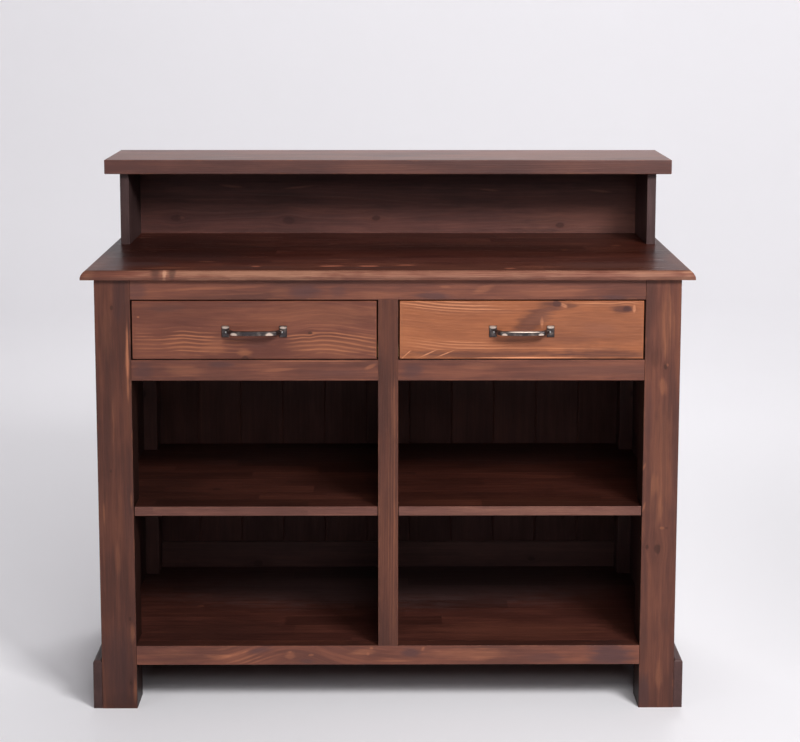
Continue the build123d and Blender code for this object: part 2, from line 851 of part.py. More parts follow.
def pull_plate(x):
    """One of the two plates behind the feet of a pull."""
    plate = block(
        (x - plate_width / 2, x + plate_width / 2),
        (-plate_thickness, 0),
        (-plate_height / 2, plate_height / 2),
    )
    return chamfer(plate.edges().group_by(Axis.Y)[0], plate_bevel)


def make_pull():
    pull = pull_bow() + pull_plate(-pull_centres / 2) + pull_plate(pull_centres / 2)
    pull = Pos(-drawer_middle_x, front_y, pull_z) * pull
    for x in pull_screw_spots():
        pull -= pull_screw(x, gap=screw_gap)
    return pull


def make_pull_screws():
    return Compound(children=[pull_screw(x) for x in pull_screw_spots()])


# ---- The whole counter ----
single_pieces = {
    "top_rail": make_top_rail(),
    "bottom_rail": make_bottom_rail(),
    "centre_stile": make_centre_stile(),
    "centre_divider": make_centre_divider(),
    "bottom_shelf": make_bottom_shelf(),
    "rear_top_rail": make_rear_top_rail(),
    "rear_bottom_rail": make_rear_bottom_rail(),
    "rear_drawer_rail": make_rear_drawer_rail(),
    "rear_plinth": make_rear_plinth(),
    "back_boards": make_back_boards(),
    "cleat_screws": make_cleat_screws(),
    "worktop": make_worktop(),
    "worktop_screws": make_worktop_screws(),
    "hutch_back": make_hutch_back(),
    "hutch_screws": make_hutch_screws(),
    "top_ledge": make_top_ledge(),
    "ledge_dowels": make_ledge_dowels(),
}

paired_pieces = {
    "front_leg": make_front_leg(),
    "rear_leg": make_rear_leg(),
    "side_panel": make_side_panel(),
    "side_rail": make_side_rail(),
    "side_plinth": make_side_plinth(),
    "drawer_rail": make_drawer_rail(),
    "middle_shelf": make_middle_shelf(),
    "outer_cleat": make_cleat(*outer_wall),
    "inner_cleat": make_cleat(*inner_wall),
    "outer_runner": make_outer_runner(),
    "inner_runner": make_inner_runner(),
    "kicker": make_kicker(),
    "drawer_stop": make_drawer_stop(),
    "hutch_side": make_hutch_side(),
    "drawer_front": make_drawer_front(),
    "drawer_outer_side": make_drawer_side(outer_side),
    "drawer_inner_side": make_drawer_side(inner_side),
    "drawer_back": make_drawer_back(),
    "drawer_bottom": drawer_bottom_sheet(),
    "pull": make_pull(),
    "pull_screws": make_pull_screws(),
}

os.makedirs("parts", exist_ok=True)
for name, piece in single_pieces.items():
    export_step(piece, f"parts/{name}.step")
for name, piece in paired_pieces.items():
    export_step(piece, f"parts/{name}_left.step")
    export_step(mirrored(piece), f"parts/{name}_right.step")
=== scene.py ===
import math

import bpy
from mathutils import Matrix, Vector


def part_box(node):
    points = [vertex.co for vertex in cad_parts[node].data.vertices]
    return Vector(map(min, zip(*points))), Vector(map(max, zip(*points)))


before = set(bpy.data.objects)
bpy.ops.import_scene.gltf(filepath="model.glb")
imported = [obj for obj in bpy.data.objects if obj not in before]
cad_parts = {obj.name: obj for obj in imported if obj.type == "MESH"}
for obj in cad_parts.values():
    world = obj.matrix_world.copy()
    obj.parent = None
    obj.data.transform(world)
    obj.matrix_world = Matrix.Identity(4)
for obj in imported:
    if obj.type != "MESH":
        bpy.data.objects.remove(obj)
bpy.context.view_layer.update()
scene = bpy.context.scene

# Lengths are in metres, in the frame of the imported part: X runs along the counter, Y towards the
# guests' side and Z up. Colours are linear.


# ---- Camera ----
SENSOR_WIDTH = 36  # mm
LENS = 74.25  # mm
CAMERA_PLACE = Vector((0.0037, -3.4727, 1.4458))
CAMERA_PITCH = math.radians(6.865)  # below the horizon
CAMERA_YAW = math.radians(0.350)
CAMERA_ROLL = math.radians(0.043)
CAMERA_SHIFT = -0.2254  # in widths of the sensor
CAMERA_RANGE = (0.05, 60)


def make_camera():
    forward = Vector((
        math.sin(CAMERA_YAW) * math.cos(CAMERA_PITCH),
        math.cos(CAMERA_YAW) * math.cos(CAMERA_PITCH),
        -math.sin(CAMERA_PITCH),
    ))
    level = forward.cross(Vector((0, 0, 1))).normalized()
    right = math.cos(CAMERA_ROLL) * level + math.sin(CAMERA_ROLL) * level.cross(forward)
    up = right.cross(forward)
    data = bpy.data.cameras.new("camera")
    data.lens = LENS
    data.sensor_width = SENSOR_WIDTH
    data.shift_y = CAMERA_SHIFT
    data.clip_start, data.clip_end = CAMERA_RANGE
    camera = bpy.data.objects.new("camera", data)
    scene.collection.objects.link(camera)
    turn = Matrix((right, up, -forward)).transposed().to_4x4()
    camera.matrix_world = Matrix.Translation(CAMERA_PLACE) @ turn
    scene.camera = camera


# ---- Node building ----
class Graph:
    """Adds nodes to a tree. An input may be a number, a vector or another node's output."""

    def __init__(self, tree):
        self.tree = tree

    def add(self, kind, **settings):
        node = self.tree.nodes.new(kind)
        for name, value in settings.items():
            setattr(node, name, value)
        return node

    def feed(self, socket, value):
        if isinstance(value, bpy.types.NodeSocket):
            self.tree.links.new(value, socket)
        else:
            socket.default_value = value

    def math(self, operation, *values):
        node = self.add("ShaderNodeMath", operation=operation)
        for socket, value in zip(node.inputs, values):
            self.feed(socket, value)
        return node.outputs[0]

    def plus(self, a, b):
        return self.math("ADD", a, b)

    def minus(self, a, b):
        return self.math("SUBTRACT", a, b)

    def times(self, a, b):
        return self.math("MULTIPLY", a, b)

    def over(self, a, b):
        return self.math("DIVIDE", a, b)

    def square(self, a):
        return self.times(a, a)

    def distance(self, u, v):
        """How far the point (u, v) is from the origin."""
        return self.math("SQRT", self.plus(self.square(u), self.square(v)))

    def fade(self, value):
        """1 where the value is 0, and less as it grows."""
        return self.math("EXPONENT", self.times(value, -1.0))

    def weigh(self, a, b, share):
        """The mean of two numbers, with this share of the first."""
        return self.plus(self.times(a, share), self.times(b, 1.0 - share))

    def vector(self, operation, a, b=(0, 0, 0)):
        node = self.add("ShaderNodeVectorMath", operation=operation)
        self.feed(node.inputs[0], a)
        self.feed(node.inputs[1], b)
        return node.outputs[0]

    def parts(self, vector):
        node = self.add("ShaderNodeSeparateXYZ")
        self.feed(node.inputs[0], vector)
        return list(node.outputs)

    def join(self, x, y, z=0.0):
        node = self.add("ShaderNodeCombineXYZ")
        for socket, value in zip(node.inputs, (x, y, z)):
            self.feed(socket, value)
        return node.outputs[0]

    def noise(self, position, features, detail=2.0, roughness=0.5):
        """Noise from 0 to 1, with the given number of features in a metre each way."""
        node = self.add("ShaderNodeTexNoise")
        self.feed(node.inputs["Vector"], self.vector("MULTIPLY", position, features))
        node.inputs["Scale"].default_value = 1.0
        node.inputs["Detail"].default_value = detail
        node.inputs["Roughness"].default_value = roughness
        return node.outputs["Fac"]

    def sway(self, position, features, detail=2.0):
        """The same noise, but from -0.5 to 0.5."""
        return self.minus(self.noise(position, features, detail), 0.5)

    def luck(self, *values):
        """A random number from 0 to 1, its own for each two or three values."""
        node = self.add("ShaderNodeTexWhiteNoise", noise_dimensions=f"{len(values)}D")
        self.feed(node.inputs["Vector"], self.join(*values))
        return node.outputs["Value"]

    def smooth(self, value, low, high, start=0.0, end=1.0):
        """An S-shaped step: start up to low and end from high."""
        node = self.add("ShaderNodeMapRange", interpolation_type="SMOOTHSTEP")
        for socket, number in zip(node.inputs, (value, low, high, start, end)):
            self.feed(socket, number)
        return node.outputs[0]

    def fall(self, value, low, high, start=1.0):
        """An S-shaped step down: start up to low and 0 from high."""
        return self.smooth(value, low, high, start, 0.0)

    def band(self, value, start, full, fading, end):
        """0 outside start and end, and 1 from full to fading."""
        return self.times(self.smooth(value, start, full), self.fall(value, fading, end))

    def mix(self, share, a, b, way="MIX"):
        node = self.add("ShaderNodeMix", data_type="RGBA", blend_type=way)
        self.feed(node.inputs[0], share)
        for socket, value in ((node.inputs[6], a), (node.inputs[7], b)):
            if not isinstance(value, bpy.types.NodeSocket):
                value = (*value[:3], 1.0)
            self.feed(socket, value)
        return node.outputs[2]

    def tint(self, colour, gain):
        """The colour times another colour."""
        return self.mix(1.0, colour, gain, "MULTIPLY")

    def shade(self, colour, gain):
        """The colour times a number."""
        return self.tint(colour, self.join(gain, gain, gain))

    def bump(self, shader, height, strength, distance):
        node = self.add("ShaderNodeBump")
        node.inputs["Strength"].default_value = strength
        node.inputs["Distance"].default_value = distance
        self.feed(node.inputs["Height"], height)
        self.feed(shader.inputs["Normal"], node.outputs[0])

    def group(self, tree, **values):
        """A group's outputs, its inputs fed by their names with underscores for spaces."""
        node = self.add("ShaderNodeGroup")
        node.node_tree = tree
        for name, value in values.items():
            self.feed(node.inputs[name.replace("_", " ")], value)
        return node.outputs


def new_group(name, inputs, outputs):
    """A shader node group with the named sockets, its graph and its two end nodes."""
    tree = bpy.data.node_groups.new(name, "ShaderNodeTree")
    for direction, sockets in (("INPUT", inputs), ("OUTPUT", outputs)):
        for label, kind in sockets:
            tree.interface.new_socket(label, in_out=direction, socket_type="NodeSocket" + kind)
    graph = Graph(tree)
    return tree, graph, graph.add("NodeGroupInput").outputs, graph.add("NodeGroupOutput").inputs


# ---- Wood, as groups that all boards share. Positions are (along, across, depth) ----
# A knot. Distances are in its radii. A fade is the squared distance at which an effect is down
# to about a third, but PUSH_FADE_ACROSS is a plain one.
KNOT_NOISE = (60, 140, 140)
KNOT_OVAL = 0.45  # how much the distance along the grain counts
KNOT_RIM = (0.65, 1.1)
KNOT_RAGGED = 0.7
HALO_FADE_ALONG, HALO_FADE_ACROSS = 14.0, 2.6
HALO_RAGGED = 0.6
PUSH = 1.1  # how far the grain goes aside
PUSH_TURN = 0.35  # how softly the push turns from one side of the knot to the other
PUSH_FADE_ALONG, PUSH_FADE_ACROSS = 9.0, 3.2


def make_knot_group():
    """One knot: the grain bends round it, and the wood darkens in it and beside it."""
    tree, g, given, made = new_group(
        "Knot",
        [("Position", "Vector"), ("Along", "Float"), ("Across", "Float"), ("Radius", "Float")],
        [("Position", "Vector"), ("Body", "Float"), ("Halo", "Float")],
    )
    along, across, depth = g.parts(given["Position"])
    rough = g.sway(given["Position"], KNOT_NOISE)
    u = g.over(g.minus(along, given["Along"]), given["Radius"])
    v = g.over(g.minus(across, given["Across"]), given["Radius"])
    side = g.over(v, g.math("SQRT", g.plus(g.square(v), PUSH_TURN)))
    far = g.plus(g.over(g.square(u), PUSH_FADE_ALONG),
                 g.over(g.math("ABSOLUTE", v), PUSH_FADE_ACROSS))
    push = g.times(g.times(side, g.fade(far)), given["Radius"])
    g.feed(made["Position"], g.join(along, g.minus(across, g.times(push, PUSH)), depth))
    oval = g.math("SQRT", g.plus(g.times(g.square(u), KNOT_OVAL), g.square(v)))
    reach = g.plus(oval, g.times(rough, KNOT_RAGGED))
    g.feed(made["Body"], g.fall(reach, *KNOT_RIM))
    spread = g.plus(g.over(g.square(u), HALO_FADE_ALONG), g.over(g.square(v), HALO_FADE_ACROSS))
    g.feed(made["Halo"], g.fade(g.plus(spread, g.times(rough, HALO_RAGGED))))
    return tree


# A zone, for marks of the stain and for painted light and shade. Distances are in its half sizes.
ZONE_STREAKS, STREAKS_IN_RIM = (14, 170, 170), 1.1
ZONE_CLOUDS, CLOUDS_IN_RIM = (30, 60, 60), 0.6
ZONE_RIM = (0.35, 1.15)


def make_zone_group():
    """A soft long zone: where the stain took more or less, and also painted light and shade."""
    tree, g, given, made = new_group(
        "Stain and painted light zone",
        [("Position", "Vector"), ("Along", "Float"), ("Across", "Float"), ("Slant", "Float"),
         ("Half Length", "Float"), ("Half Width", "Float")],
        [("Mask", "Float")],
    )
    along, across, _ = g.parts(given["Position"])
    forward = g.minus(along, given["Along"])
    aside = g.minus(g.minus(across, given["Across"]), g.times(forward, given["Slant"]))
    reach = g.distance(g.over(forward, given["Half Length"]), g.over(aside, given["Half Width"]))
    streaks = g.sway(given["Position"], ZONE_STREAKS, detail=3.0)
    clouds = g.sway(given["Position"], ZONE_CLOUDS)
    frayed = g.plus(g.times(streaks, STREAKS_IN_RIM), g.times(clouds, CLOUDS_IN_RIM))
    g.feed(made["Mask"], g.fall(g.plus(reach, frayed), *ZONE_RIM))
    return tree


SEED_STEP = (3.71, 5.13, 2.37)  # how far apart the grain of two seeds is read
WANDER_NOISE = (2.2, 9, 9)
WAVE_NOISE = (16, 60, 60)
RING_NOISE, RING_UNEVENNESS = (55, 1, 1), 1.1
# Where late and early wood start, are full, fade and end in a year ring.
LATE_WOOD = (0.48, 0.76, 0.84, 0.98)
EARLY_WOOD = (0.10, 0.30, 0.34, 0.50)
FAINTEST_RING = 0.35
FIBRE_NOISE = (34, 620, 620)
STREAK_NOISE = (5.5, 130, 130)
BLOTCH_NOISE = (5.0, 17, 17)


def make_grain_group():
    """Year rings, fibres and uneven stain of one board."""
    tree, g, given, made = new_group(
        "Grain",
        [("Position", "Vector"), ("Seed", "Float"), ("Ring Width", "Float"),
         ("Pith Across", "Float"), ("Pith Depth", "Float"), ("Slope", "Float"),
         ("Wander", "Float"), ("Wave", "Float")],
        [("Late", "Float"), ("Early", "Float"), ("Fibre", "Float"), ("Streak", "Float"),
         ("Blotch", "Float")],
    )
    shift = g.vector("SCALE", SEED_STEP)
    g.feed(shift.node.inputs["Scale"], given["Seed"])
    place = g.vector("ADD", given["Position"], shift)
    along, across, depth = g.parts(given["Position"])
    distance = g.distance(g.minus(across, given["Pith Across"]),
                          g.minus(depth, given["Pith Depth"]))
    distance = g.plus(distance, g.times(along, given["Slope"]))
    distance = g.plus(distance, g.times(g.sway(place, WANDER_NOISE), given["Wander"]))
    distance = g.plus(distance, g.times(g.sway(place, WAVE_NOISE), given["Wave"]))
    uneven = g.noise(g.join(distance, given["Seed"]), RING_NOISE, 1.0)
    ring = g.plus(g.over(distance, given["Ring Width"]), g.times(uneven, RING_UNEVENNESS))
    turn = g.math("FRACT", ring)
    luck = g.luck(g.math("FLOOR", ring), given["Seed"])
    clear = g.plus(g.times(luck, 1.0 - FAINTEST_RING), FAINTEST_RING)
    g.feed(made["Late"], g.times(g.band(turn, *LATE_WOOD), clear))
    g.feed(made["Early"], g.band(turn, *EARLY_WOOD))
    g.feed(made["Fibre"], g.noise(place, FIBRE_NOISE, 2.0, 0.6))
    g.feed(made["Streak"], g.noise(place, STREAK_NOISE, 3.0, 0.6))
    g.feed(made["Blotch"], g.noise(place, BLOTCH_NOISE, 3.0, 0.55))
    return tree


RUB_NOISE, RUB_PATCHES, RUB_WIDTH = (23, 23, 23), (0.48, 0.74), 0.0040
FRAY_NOISE, FRAY_WIDTH = (160, 160, 160), 0.0010
WEAR_RIM = (-0.0012, 0.0006)  # from the width of the rubbed strip


def make_wear_group():
    """How near a point is to the arrises of a board given by its two corners."""
    tree, g, given, made = new_group(
        "Edge wear",
        [("Position", "Vector"), ("Low", "Vector"), ("High", "Vector")],
        [("Wear", "Float")],
    )
    inside = g.vector("MINIMUM", g.vector("SUBTRACT", given["Position"], given["Low"]),
                      g.vector("SUBTRACT", given["High"], given["Position"]))
    a, b, c = g.parts(inside)
    second_nearest = g.math("MAXIMUM", g.math("MINIMUM", a, b),
                            g.math("MINIMUM", g.math("MAXIMUM", a, b), c))
    rubbed_and_lit = g.smooth(g.noise(given["Position"], RUB_NOISE, 3.0, 0.7), *RUB_PATCHES)
    fine = g.noise(given["Position"], FRAY_NOISE, 2.0, 0.7)
    width = g.plus(g.times(rubbed_and_lit, RUB_WIDTH), g.times(fine, FRAY_WIDTH))
    g.feed(made["Wear"], g.fall(g.minus(second_nearest, width), *WEAR_RIM))
    return tree


KNOT = make_knot_group()
ZONE = make_zone_group()
GRAIN = make_grain_group()
WEAR = make_wear_group()

# Each stain's colours: where it took most, on average, where it took least, on knots and where it
# went grey. The lightest and the grey also serve for painted light and painted sheen.
WALNUT = {
    "dark": (0.061, 0.0226, 0.0166),
    "middle": (0.097, 0.0332, 0.0218),
    "light": (0.225, 0.0830, 0.0430),
    "knot": (0.030, 0.0105, 0.0080),
    "grey": (0.050, 0.0230, 0.0222),
}
HUTCH_WALNUT = {
    "dark": (0.062, 0.0246, 0.0208),
    "middle": (0.095, 0.0352, 0.0290),
    "light": (0.205, 0.0790, 0.0540),
    "knot": (0.032, 0.0105, 0.0098),
}
DUSTY_WALNUT = {
    "dark": (0.037, 0.0200, 0.0192),
    "middle": (0.051, 0.0280, 0.0270),
    "light": (0.087, 0.0460, 0.0420),
    "knot": (0.020, 0.0100, 0.0094),
}
DEEP_WALNUT = {
    "dark": (0.030, 0.0078, 0.0052),
    "middle": (0.043, 0.0112, 0.0075),
    "light": (0.100, 0.0300, 0.0165),
    "knot": (0.014, 0.0050, 0.0040),
    "grey": (0.040, 0.0185, 0.0172),
}
TOP_WALNUT = {
    "dark": (0.030, 0.0066, 0.0042),
    "middle": (0.043, 0.0095, 0.0061),
    "light": (0.100, 0.0315, 0.0180),
    "knot": (0.014, 0.0048, 0.0038),
    "grey": (0.040, 0.0185, 0.0172),
}
SHELF_WALNUT = {
    "dark": (0.030, 0.0086, 0.0060),
    "middle": (0.043, 0.0124, 0.0087),
    "light": (0.100, 0.0320, 0.0185),
    "knot": (0.014, 0.0050, 0.0040),
    "grey": (0.054, 0.0290, 0.0275),
}
PANEL_WALNUT = {
    "dark": (0.046, 0.0197, 0.0172),
    "middle": (0.063, 0.0273, 0.0234),
    "light": (0.100, 0.0432, 0.0325),
    "knot": (0.028, 0.0105, 0.0090),
}
LEFT_FRONT = {
    "dark": (0.098, 0.0325, 0.0222),
    "middle": (0.133, 0.0440, 0.0285),
    "light": (0.305, 0.1120, 0.0530),
    "knot": (0.052, 0.0185, 0.0130),
    "grey": (0.085, 0.0350, 0.0270),
}
RIGHT_FRONT = {
    "dark": (0.215, 0.0710, 0.0325),
    "middle": (0.285, 0.0960, 0.0405),
    "light": (0.445, 0.1780, 0.0880),
    "knot": (0.066, 0.0255, 0.0210),
    "grey": (0.170, 0.0640, 0.0400),
}
SPRUCE = {
    "dark": (0.46, 0.28, 0.13),
    "middle": (0.58, 0.38, 0.19),
    "light": (0.66, 0.46, 0.25),
    "knot": (0.20, 0.09, 0.04),
}
BEECH = {
    "dark": (0.50, 0.32, 0.18),
    "middle": (0.58, 0.38, 0.22),
    "light": (0.64, 0.44, 0.27),
    "knot": (0.40, 0.24, 0.13),
}

# For each way the grain runs: the axes along it, across the face and into the board.
ALONG_X_FACING_Y = (0, 2, 1)
ALONG_X_FACING_Z = (0, 1, 2)
ALONG_Z_FACING_Y = (2, 0, 1)
ALONG_Z_FACING_X = (2, 1, 0)
ALONG_Y_FACING_X = (1, 2, 0)
ALONG_Y_FACING_Z = (1, 0, 2)


# ---- Materials ----
def new_material(name):
    material = bpy.data.materials.new(name)
    material.use_nodes = True
    material.node_tree.nodes.clear()
    graph = Graph(material.node_tree)
    shader = graph.add("ShaderNodeBsdfPrincipled")
    output = graph.add("ShaderNodeOutputMaterial")
    graph.feed(output.inputs["Surface"], shader.outputs[0])
    return material, graph, shader


def dress(node, material):
    """Puts the material in every slot of the CAD node."""
    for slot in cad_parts[node].material_slots:
        slot.material = material


def box_of(node):
    """The middle and the two corners of a CAD node's box."""
    low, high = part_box(node)
    return (low + high) / 2, low, high


# A panel's staves. Each log has its own grain, and so has each piece of it.
LOG_SEEDS, PIECE_SEEDS = 3.17, 1.93
BUTT_SHIFT = 5.0  # in pieces: how far the butt joints of two staves may be apart
LOG_DEPTHS = 0.05  # how much deeper the middle of a log may lie
LOG_DRAW, PIECE_DRAW = (1.7, 0.3), (0.7, 0.2)  # a factor and a step that keep the draws apart
SEAM_WIDTH = 0.0011


def lay_staves(g, along, across, start, width, length, seed, pith_depth):
    """Makes a panel's staves, from its edge at start on.

    Returns the seed of the grain, the place of the log's middle across and in depth, the luck of
    each piece, and the mask of the seams between the staves.
    """
    run = g.over(g.minus(across, start), width)
    number = g.math("FLOOR", run)
    luck = g.luck(number, seed * LOG_DRAW[0] + LOG_DRAW[1])
    grain_seed = g.plus(g.times(number, LOG_SEEDS), seed)
    piece_luck = luck
    if length:
        piece = g.math("FLOOR", g.plus(g.over(along, length), g.times(luck, BUTT_SHIFT)))
        piece_luck = g.luck(number, piece, seed * PIECE_DRAW[0] + PIECE_DRAW[1])
        grain_seed = g.plus(grain_seed, g.times(piece, PIECE_SEEDS))
    centre = g.plus(g.times(g.plus(number, 0.5), width), start)
    pith_across = g.plus(centre, g.times(g.minus(luck, 0.5), width))
    pith_depth = g.plus(g.times(luck, LOG_DEPTHS), pith_depth)
    into = g.math("FRACT", run)
    seam = g.fall(g.math("MINIMUM", into, g.minus(1.0, into)), 0.0, SEAM_WIDTH / width)
    return grain_seed, pith_across, pith_depth, piece_luck, seam


def turn_grain(g, position, middle, knots, bends):
    """Leads the grain round the knots and up in the bends.

    Returns where the grain is read, and the masks of the knots and of the wood beside them.
    """
    along = g.parts(position)[0]
    body, halo = 0.0, 0.0
    for knot_along, knot_across, radius in knots:
        knot = g.group(KNOT, Position=position, Along=middle[0] + knot_along,
                       Across=middle[1] + knot_across, Radius=radius)
        position = knot["Position"]
        body = g.math("MAXIMUM", body, knot["Body"])
        halo = g.math("MAXIMUM", halo, knot["Halo"])
    for bend_along, half_length, rise in bends:
        u = g.over(g.minus(along, middle[0] + bend_along), half_length)
        arch = g.times(g.fade(g.square(u)), rise)
        position = g.vector("SUBTRACT", position, g.join(0.0, arch))
    return position, body, halo


def zone_masks(g, position, middle, zones):
    """The masks of zones, each one times its strength. A zone without a slant is straight."""
    masks = []
    for zone in zones:
        along, across, half_length, half_width, strength, slant = (*zone, 0.0)[:6]
        mask = g.group(ZONE, Position=position, Along=middle[0] + along,
                       Across=middle[1] + across, Slant=slant,
                       Half_Length=half_length, Half_Width=half_width)["Mask"]
        masks.append(g.times(mask, abs(strength)))
    return masks


# Blotches and streaks add up to where the stain is dark or lit. These are the blotches' shares,
# and the sums at which either starts to change and has changed.
DARK_BLOTCHES, DARK_RIM = 0.62, (0.34, 0.62)
LIT_BLOTCHES, LIT_RIM = 0.55, (0.46, 0.70)
UNLIT_LINING = 0.30  # how clear the pale lines are outside the lit wood
LIT_LIGHT = 0.13
CLEARED, CLEARED_EARLY = 0.10, 0.45  # how light and how dark the wood between clear lines is


def stained(g, grain, stain, lining, cloud, line_masks):
    """The stain on plain wood, with the pale lines of the late wood."""
    blotch, streak, late, early = (grain[name] for name in ("Blotch", "Streak", "Late", "Early"))
    taken = g.smooth(g.weigh(blotch, streak, DARK_BLOTCHES), *DARK_RIM)
    colour = g.mix(taken, stain["dark"], stain["middle"])
    lit = g.smooth(g.weigh(blotch, streak, LIT_BLOTCHES), *LIT_RIM)
    bright = g.times(late, g.times(g.plus(lit, UNLIT_LINING), lining))
    bright = g.plus(bright, g.times(lit, LIT_LIGHT * cloud))
    for mask in line_masks:
        bright = g.plus(bright, g.times(mask, g.plus(late, CLEARED)))
        colour = g.mix(g.times(g.times(mask, early), CLEARED_EARLY), colour, stain["knot"])
    return g.mix(g.math("MINIMUM", bright, 1.0), colour, stain["light"])


PATCH_FULLNESS, PATCH_ON_LATE = 0.70, 0.2  # anywhere, and how much more on late wood
GREY_FULLNESS, GREY_ON_FIBRE = 0.75, 0.3
HALO_MARK = 0.46  # how much of a knot's darkness the wood beside it gets
PLAIN_SHADE, FIBRE_SHADE = 0.78, 0.44
BROAD_FACE = (0.70, 0.97)  # the share of the normal that points along the board's depth
INNER_FACE = (0.5, 0.9)  # the share that points towards the counter's middle
FIBRE_ROUGHNESS, LATE_SMOOTHNESS = 0.16, 0.05
LATE_HEIGHT = 0.55  # the late wood's share of the relief, beside the fibres
SEAM_DEPTH, KNOT_HEIGHT = 0.8, 0.35
RELIEF_STRENGTH, RELIEF_SIZE = 0.30, 0.0008


def wood(node, axes, stain, seed, *, ring=0.0042, pith=(0.01, 0.05), slope=0.012, wander=0.016,
         wave=0.002, lining=0.16, cloud=1.3, knots=(), knot_mark=0.82, patches=(), greys=(),
         lines=(), bends=(), strips=0.0, stave_tone=0.16, stave_length=0.0, seams=0.45, tone=1.0,
         wear_and_glint=0.25, specular=0.22, roughness=0.40, edge_gain=None, inner_gain=None):
    """Gives a CAD node its own wood. All places are from the middle of the node's box.

    pith is where the middle of the log is, across and in depth. lining is how clearly the late
    wood shows as pale lines, and cloud how blotchy the stain is. knots are (along, across,
    radius), and bends (along, half length, rise), where the grain arches up.

    Zones are (along, across, half length, half width, strength), and slant where they have one.
    patches are zones painted lighter where their strength is above 0, lighter than the stain's
    lightest above 1, and darker where it is below 0. greys are zones painted grey, and lines
    zones in which the pale lines stand out. Most patches and greys are marks of the stain; some
    are painted light, painted shade and painted sheen, named above the boards that have them.

    strips is the width of the staves of a glued panel, which are butted end to end if they have
    a length. stave_tone is how much they differ, and seams how dark the joints between them are.
    edge_gain is what the colour of the narrow faces is multiplied by, and inner_gain the same for
    faces towards the counter's middle; inner_gain is a painted shade on the front legs, and
    edge_gain is painted light, shade and sheen on most boards that have it. The wear setting
    pales the arrises: worn wood, and on the worktop partly a painted highlight.
    """
    material, g, shader = new_material("wood_" + node)
    box_middle, low, high = box_of(node)
    middle = [box_middle[axis] for axis in axes]
    coordinates = g.add("ShaderNodeTexCoord").outputs
    place, normal = coordinates["Object"], g.parts(coordinates["Normal"])
    xyz = g.parts(place)
    flat = g.join(*(xyz[axis] for axis in axes))
    grain_seed, pith_across, pith_depth = seed, middle[1] + pith[0], middle[2] + pith[1]
    if strips:
        grain_seed, pith_across, pith_depth, piece_luck, seam = lay_staves(
            g, xyz[axes[0]], xyz[axes[1]], low[axes[1]], strips, stave_length, seed, pith_depth)
    bent, body, halo = turn_grain(g, flat, middle, knots, bends)
    grain = g.group(GRAIN, Position=bent, Seed=grain_seed, Ring_Width=ring,
                    Pith_Across=pith_across, Pith_Depth=pith_depth, Slope=slope, Wander=wander,
                    Wave=wave)
    late, fibre = grain["Late"], grain["Fibre"]

    # The stain and its marks.
    colour = stained(g, grain, stain, lining, cloud, zone_masks(g, flat, middle, lines))
    for zone, mask in zip(patches, zone_masks(g, flat, middle, patches)):
        strength = zone[4]
        target = stain["knot"]
        if strength > 0:
            target = [max(strength, 1.0) * part for part in stain["light"]]
        fullness = g.plus(g.times(late, PATCH_ON_LATE), PATCH_FULLNESS)
        colour = g.mix(g.times(mask, fullness), colour, target)
    for mask in zone_masks(g, flat, middle, greys):
        fullness = g.plus(g.times(fibre, GREY_ON_FIBRE), GREY_FULLNESS)
        colour = g.mix(g.times(mask, fullness), colour, stain["grey"])
    if knots:
        colour = g.mix(g.times(halo, HALO_MARK * knot_mark), colour, stain["knot"])
        colour = g.mix(g.times(body, knot_mark), colour, stain["knot"])
    if strips and seams:
        colour = g.mix(g.times(seam, seams), colour, stain["knot"])

    # The tone of fibres, staves and faces.
    shade = g.plus(g.times(fibre, FIBRE_SHADE * tone), PLAIN_SHADE * tone)
    broad = g.smooth(g.math("ABSOLUTE", normal[axes[2]]), *BROAD_FACE)
    if strips:
        uneven = g.times(g.times(g.minus(piece_luck, 0.5), stave_tone), broad)
        shade = g.times(shade, g.plus(uneven, 1.0))
    colour = g.shade(colour, shade)
    if edge_gain:
        colour = g.mix(broad, g.tint(colour, edge_gain), colour)
    if inner_gain:
        outward = g.times(normal[0], g.math("SIGN", xyz[0]))
        inner = g.smooth(g.times(outward, -1.0), *INNER_FACE)
        colour = g.mix(inner, colour, g.tint(colour, inner_gain))
    if wear_and_glint:
        rubbed_and_lit = g.group(WEAR, Position=place, Low=tuple(low), High=tuple(high))["Wear"]
        colour = g.mix(g.times(rubbed_and_lit, wear_and_glint), colour, stain["light"])
    g.feed(shader.inputs["Base Color"], colour)

    # The surface.
    dull = g.plus(g.times(fibre, FIBRE_ROUGHNESS), roughness)
    g.feed(shader.inputs["Roughness"], g.minus(dull, g.times(late, LATE_SMOOTHNESS)))
    shader.inputs["Specular IOR Level"].default_value = specular
    height = g.weigh(late, fibre, LATE_HEIGHT)
    if strips and seams:
        height = g.minus(height, g.times(seam, SEAM_DEPTH))
    if knots:
        height = g.plus(height, g.times(body, KNOT_HEIGHT))
    g.bump(shader, height, RELIEF_STRENGTH, RELIEF_SIZE)
    dress(node, material)


def plywood(node, seed):
    """A thin birch ply sheet: broad, pale rotary grain on its faces."""
    wood(node, ALONG_X_FACING_Z, SPRUCE, seed, ring=0.010, pith=(0.0, 0.02), slope=0.05,
         wander=0.09, wear_and_glint=0.0)


METAL_CLOUDS, METAL_PITS = (90, 90, 90), (700, 700, 700)
RUBBED_CLOUDS, CLOUD_RUB = (0.45, 0.80), 0.25  # which clouds are rubbed, and how much
SPOT_RIM, SPOT_RAGGED = (0.55, 1.15), 0.5  # in half sizes of the spot
PIT_ROUGHNESS = 0.16
PIT_HEIGHT = 0.7  # the pits' share of the relief, beside the clouds
METAL_RELIEF = 0.3  # how strongly the relief shows


